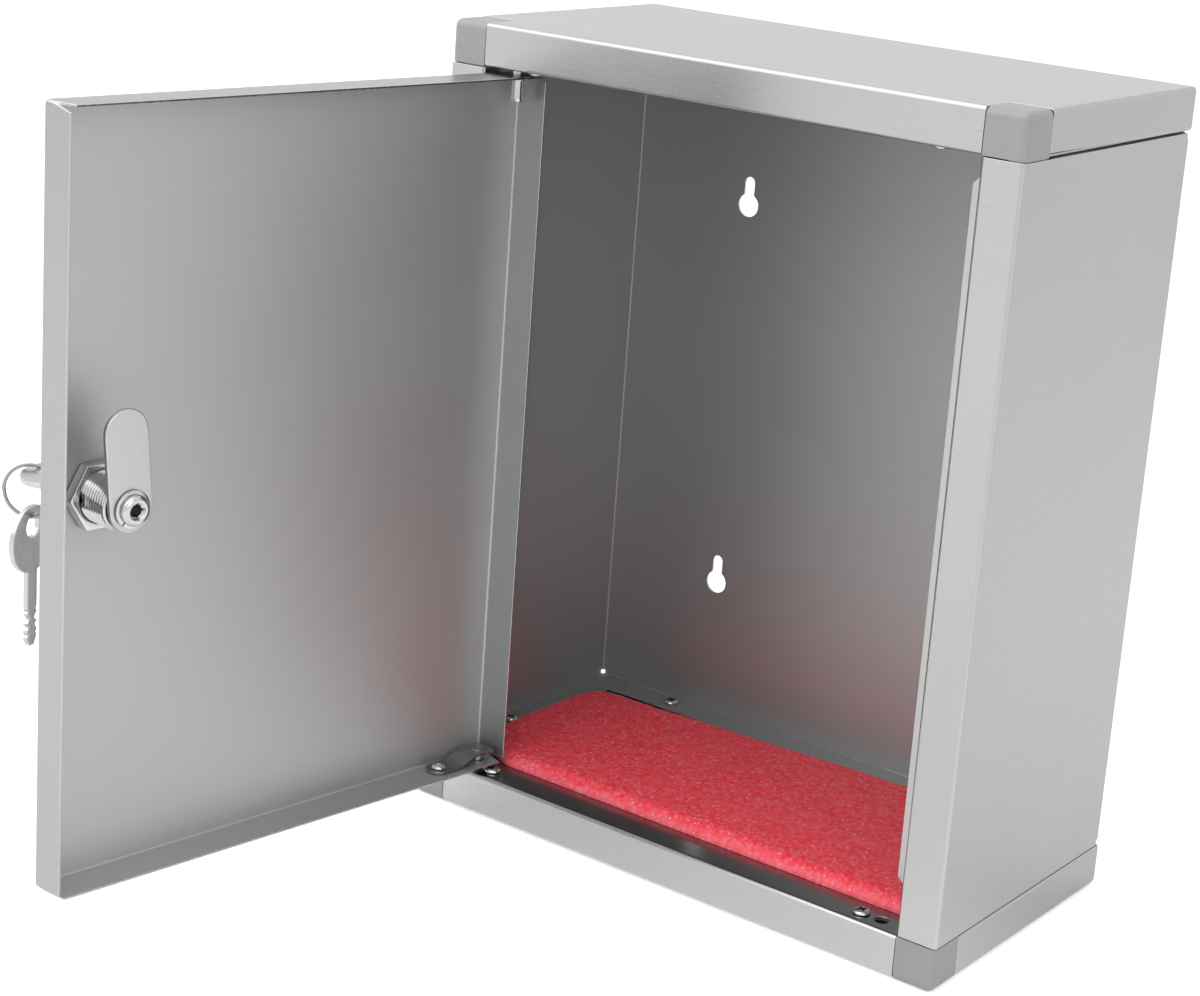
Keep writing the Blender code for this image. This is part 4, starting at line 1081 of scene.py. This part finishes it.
# %% Split ring
RING_RADIUS = 9.9
RING_TURN = 44
RING_DROP = 7.8
RING_HOLE_AT = -29.0
COIL_RADIUS = 9.75
COIL_HALF = 0.35
COIL_REACH = 0.62
COIL_TURNS = 2
COIL_STEPS = 72
WIRE_SIDES = 12
turn = radians(RING_TURN)
towards = Vector((sin(turn), -cos(turn), 0))
reach = sqrt(RING_RADIUS**2 - RING_DROP**2)
ring_middle = Vector((0, RING_HOLE_AT, -RING_DROP)) + towards * reach
facing = towards.cross(Vector((0, 0, 1)))
bm = bmesh.new()
bmesh.ops.create_circle(bm, segments=WIRE_SIDES, radius=1)
bmesh.ops.rotate(bm, verts=bm.verts, cent=(0, 0, 0), matrix=Matrix.Rotation(pi / 2, 3, "X"))
bmesh.ops.scale(bm, verts=bm.verts, vec=(COIL_REACH * MM, 1, COIL_HALF * MM))
bmesh.ops.translate(bm, verts=bm.verts, vec=(COIL_RADIUS * MM, 0, -COIL_HALF * COIL_TURNS * MM))
wind(bm, 2 * COIL_HALF / COIL_STEPS, 2 * pi * COIL_TURNS, COIL_TURNS * COIL_STEPS)
close_up(bm)
hang = Matrix.Translation(ring_middle * MM) @ facing.to_track_quat("Z", "Y").to_matrix().to_4x4()
bmesh.ops.transform(bm, matrix=LOCK @ hang, verts=bm.verts)
ring = make_piece("split_ring", bm, "ring", (ring_steel,), ("key_ring",))
print("split_ring", len(ring.data.polygons), "faces")

# %% [markdown]
# ## Foam pad
#
# The pad is a loose sheet of blown foam. Its skin is a field of small bubbles, and here and there a bubble is
# paler in tone. A dense grid is trimmed to the pad's outline with bisecting planes. Then each point is
# raised:
# by a slow swell, by the bubbles, and less towards the border, so that the edge is round. In front of the
# floor flange the pad sinks to the strip. The paleness is kept as an attribute: a random tone per bubble and
# a fine grain, with painted highlights on top of each bubble and along the round border. A few tight cells in
# the finish are painted glints.

# %% Foam finish
BUBBLE_TONE_AND_HIGHLIGHT = "bubble"
PAINTED_GLINTS_PER_METRE = 640
SKIN = (1900, 1900, 1900)


def blown_foam(name, deep, pale, glint_paint_colour):
    """Foam that goes from deep between the bubbles to pale on top of them, a painted highlight, with a few
    painted glints.
    """
    material, tree, shader = new_finish(name, 0.0)
    spot = add_node(tree, "TexCoord")
    # The attribute mixes the foam's own tone with painted highlights.
    bubble = add_node(tree, "Attribute", attribute_name=BUBBLE_TONE_AND_HIGHLIGHT)
    fine = noise_on(tree, spot.outputs["Object"], SKIN, 3)
    glow = add_node(tree, "Math", operation="ADD", use_clamp=True)
    join(tree, bubble.outputs["Fac"], glow.inputs[0])
    join(tree, spread(tree, fine, -0.22, 0.22), glow.inputs[1])
    colour = add_node(tree, "MixRGB", {"Color1": (*deep, 1), "Color2": (*pale, 1)})
    join(tree, glow.outputs[0], colour.inputs["Fac"])
    # Painted glints: a few tight cells are painted pale pink for light caught by the bubbles.
    cells = add_node(tree, "TexVoronoi", {"Scale": PAINTED_GLINTS_PER_METRE})
    join(tree, spot.outputs["Object"], cells.inputs["Vector"])
    chance = add_node(tree, "SeparateColor")
    join(tree, cells.outputs["Color"], chance.inputs["Color"])
    tight = spread(tree, cells.outputs["Distance"], 1.0, 0.0, 0.16, 0.36)
    picked = spread(tree, chance.outputs["Red"], 0.0, 1.0, 0.35, 0.95)
    painted_glint_mix = add_node(tree, "MixRGB", {"Color2": (*glint_paint_colour, 1)})
    join(tree, blend_sockets(tree, "MULTIPLY", tight, picked), painted_glint_mix.inputs["Fac"])
    join(tree, colour.outputs["Color"], painted_glint_mix.inputs["Color1"])
    join(tree, painted_glint_mix.outputs["Color"], shader.inputs["Base Color"])
    join(tree, spread(tree, fine, 0.3, 0.6), shader.inputs["Roughness"])
    roughen(tree, shader, fine, 0.2 * MM, 0.7)
    shader.inputs["Specular IOR Level"].default_value = 0.2
    shader.inputs["Coat Weight"].default_value = 0.1
    shader.inputs["Coat Roughness"].default_value = 0.25
    return material


red_foam = blown_foam("red_blown_foam", (0.98, 0.028, 0.046), (1.0, 0.25, 0.31), (1.0, 0.4, 0.46))
print("foam finish")

# %% Outline of the pad
PAD_LOW = 18.2
PAD_TOP = 21.5
PAD_CELLS = (400, 200)
outline = [(-88, -47.9), (101.4, -47.9), (101.4, 53), (-104, 40.5), (-110, 35)]
outline += [(-112.5, 26), (-112.5, -20), (-108, -36), (-99, -44.4)]
outline = [Vector(corner) for corner in outline]
pad_sides = [(outline[index - 1], outline[index]) for index in range(len(outline))]


def inward(start, end):
    """Unit normal of a side that points into the pad."""
    along = (end - start).normalized()
    return Vector((-along.y, along.x))


def distance_inside(point):
    """Distance in millimetres from a point to the nearest side of the pad."""
    return min((point - start).dot(inward(start, end)) for start, end in pad_sides)


bm = bmesh.new()
bmesh.ops.create_grid(bm, x_segments=PAD_CELLS[0], y_segments=PAD_CELLS[1], size=0.5)
least = Vector((min(corner.x for corner in outline), min(corner.y for corner in outline)))
span = Vector((max(corner.x for corner in outline), max(corner.y for corner in outline))) - least
for vert in bm.verts:
    vert.co.x = (least.x + (vert.co.x + 0.5) * span.x) * MM
    vert.co.y = (least.y + (vert.co.y + 0.5) * span.y) * MM
for start, end in pad_sides:
    side_normal = inward(start, end)
    bmesh.ops.bisect_plane(
        bm,
        geom=bm.verts[:] + bm.edges[:] + bm.faces[:],
        dist=0.01 * MM,
        plane_co=(start.x * MM, start.y * MM, 0),
        plane_no=(side_normal.x, side_normal.y, 0),
        clear_inner=True,
    )
bmesh.ops.recalc_face_normals(bm, faces=bm.faces)
print("pad outline", len(bm.verts), "points")

# %% Bubbles of the pad
ROUND_WIDTH = 5.5
ROUND_DROP = 2.5
BUBBLE_SIZE = 2.3
FINE_SIZE = 1.2
EDGE_HIGHLIGHT_PAINT_WIDTH = 3.0
SWELL_SIZE = 26
SWELL_HEIGHT = 0.3
DOME_REACH = 0.75
DOME_HEIGHT = 0.45
FINE_HEIGHT = 0.2
# Paleness of the foam: the base, the random tone per bubble and the fine grain are the foam's own; the dome
# and border parts are painted highlights on top of each bubble and along the round edge.
PALE_TONE_AND_HIGHLIGHT = {"base": 0.1, "dome": 0.4, "shade": 0.25, "grain": 0.3, "edge_highlight_paint": 0.3}
SINK = 1.5
SINK_FROM = -42.5
SINK_OVER = 5.0
UNDERSIDE = 0.86


def sunk(depth):
    """How far the pad sinks, in millimetres, at a place in front of the floor flange."""
    part = min(max((SINK_FROM - depth) / SINK_OVER, 0), 1)
    return SINK * part * part * (3 - 2 * part)


tone_and_highlight_layer = bm.verts.layers.float.new(BUBBLE_TONE_AND_HIGHLIGHT)
for vert in bm.verts:
    point = Vector((vert.co.x, vert.co.y)) / MM
    inside = max(distance_inside(point), 0)
    out = 1 - min(inside / ROUND_WIDTH, 1)
    rounding = ROUND_DROP * (1 - sqrt(1 - out**2))
    swell = SWELL_HEIGHT * noise.noise(Vector((point.x / SWELL_SIZE, point.y / SWELL_SIZE, 3)))
    distances, seeds = noise.voronoi(Vector((point.x / BUBBLE_SIZE, point.y / BUBBLE_SIZE, 0.5)))
    dome = max(1 - distances[0] / DOME_REACH, 0)
    grain = 0.5 - noise.voronoi(Vector((point.x / FINE_SIZE, point.y / FINE_SIZE, 7.5)))[0][0]
    shade = noise.noise(seeds[0] * 3.1)
    edge_highlight_paint = max(1 - inside / EDGE_HIGHLIGHT_PAINT_WIDTH, 0)
    # Painted highlight: paler on top of each bubble and along the round border.
    pale = PALE_TONE_AND_HIGHLIGHT["base"] + PALE_TONE_AND_HIGHLIGHT["dome"] * dome + PALE_TONE_AND_HIGHLIGHT["shade"] * shade
    vert[tone_and_highlight_layer] = pale + PALE_TONE_AND_HIGHLIGHT["grain"] * grain + PALE_TONE_AND_HIGHLIGHT["edge_highlight_paint"] * edge_highlight_paint
    bumps = swell + DOME_HEIGHT * dome + FINE_HEIGHT * grain
    vert.co.z = (PAD_TOP - rounding - sunk(point.y) + bumps) * MM
grown = bmesh.ops.extrude_edge_only(bm, edges=open_edges(bm))
for vert in new_points(grown):
    vert.co.z = (PAD_LOW - sunk(vert.co.y / MM)) * MM
grown = bmesh.ops.extrude_edge_only(bm, edges=open_edges(bm))
under = new_points(grown)
pad_middle = least + span / 2
about_middle = Matrix.Translation((-pad_middle.x * MM, -pad_middle.y * MM, 0))
bmesh.ops.scale(bm, verts=under, vec=(UNDERSIDE, UNDERSIDE, 1), space=about_middle)
for vert in under:
    vert.co.z = PAD_LOW * MM
close_up(bm)
pad = make_piece("loose_foam_pad", bm, "cabinet", (red_foam,), ("foam_pad",))
print("loose_foam_pad", len(pad.data.polygons), "faces")

# %% [markdown]
# ## End

# %% End
print("all pieces built")
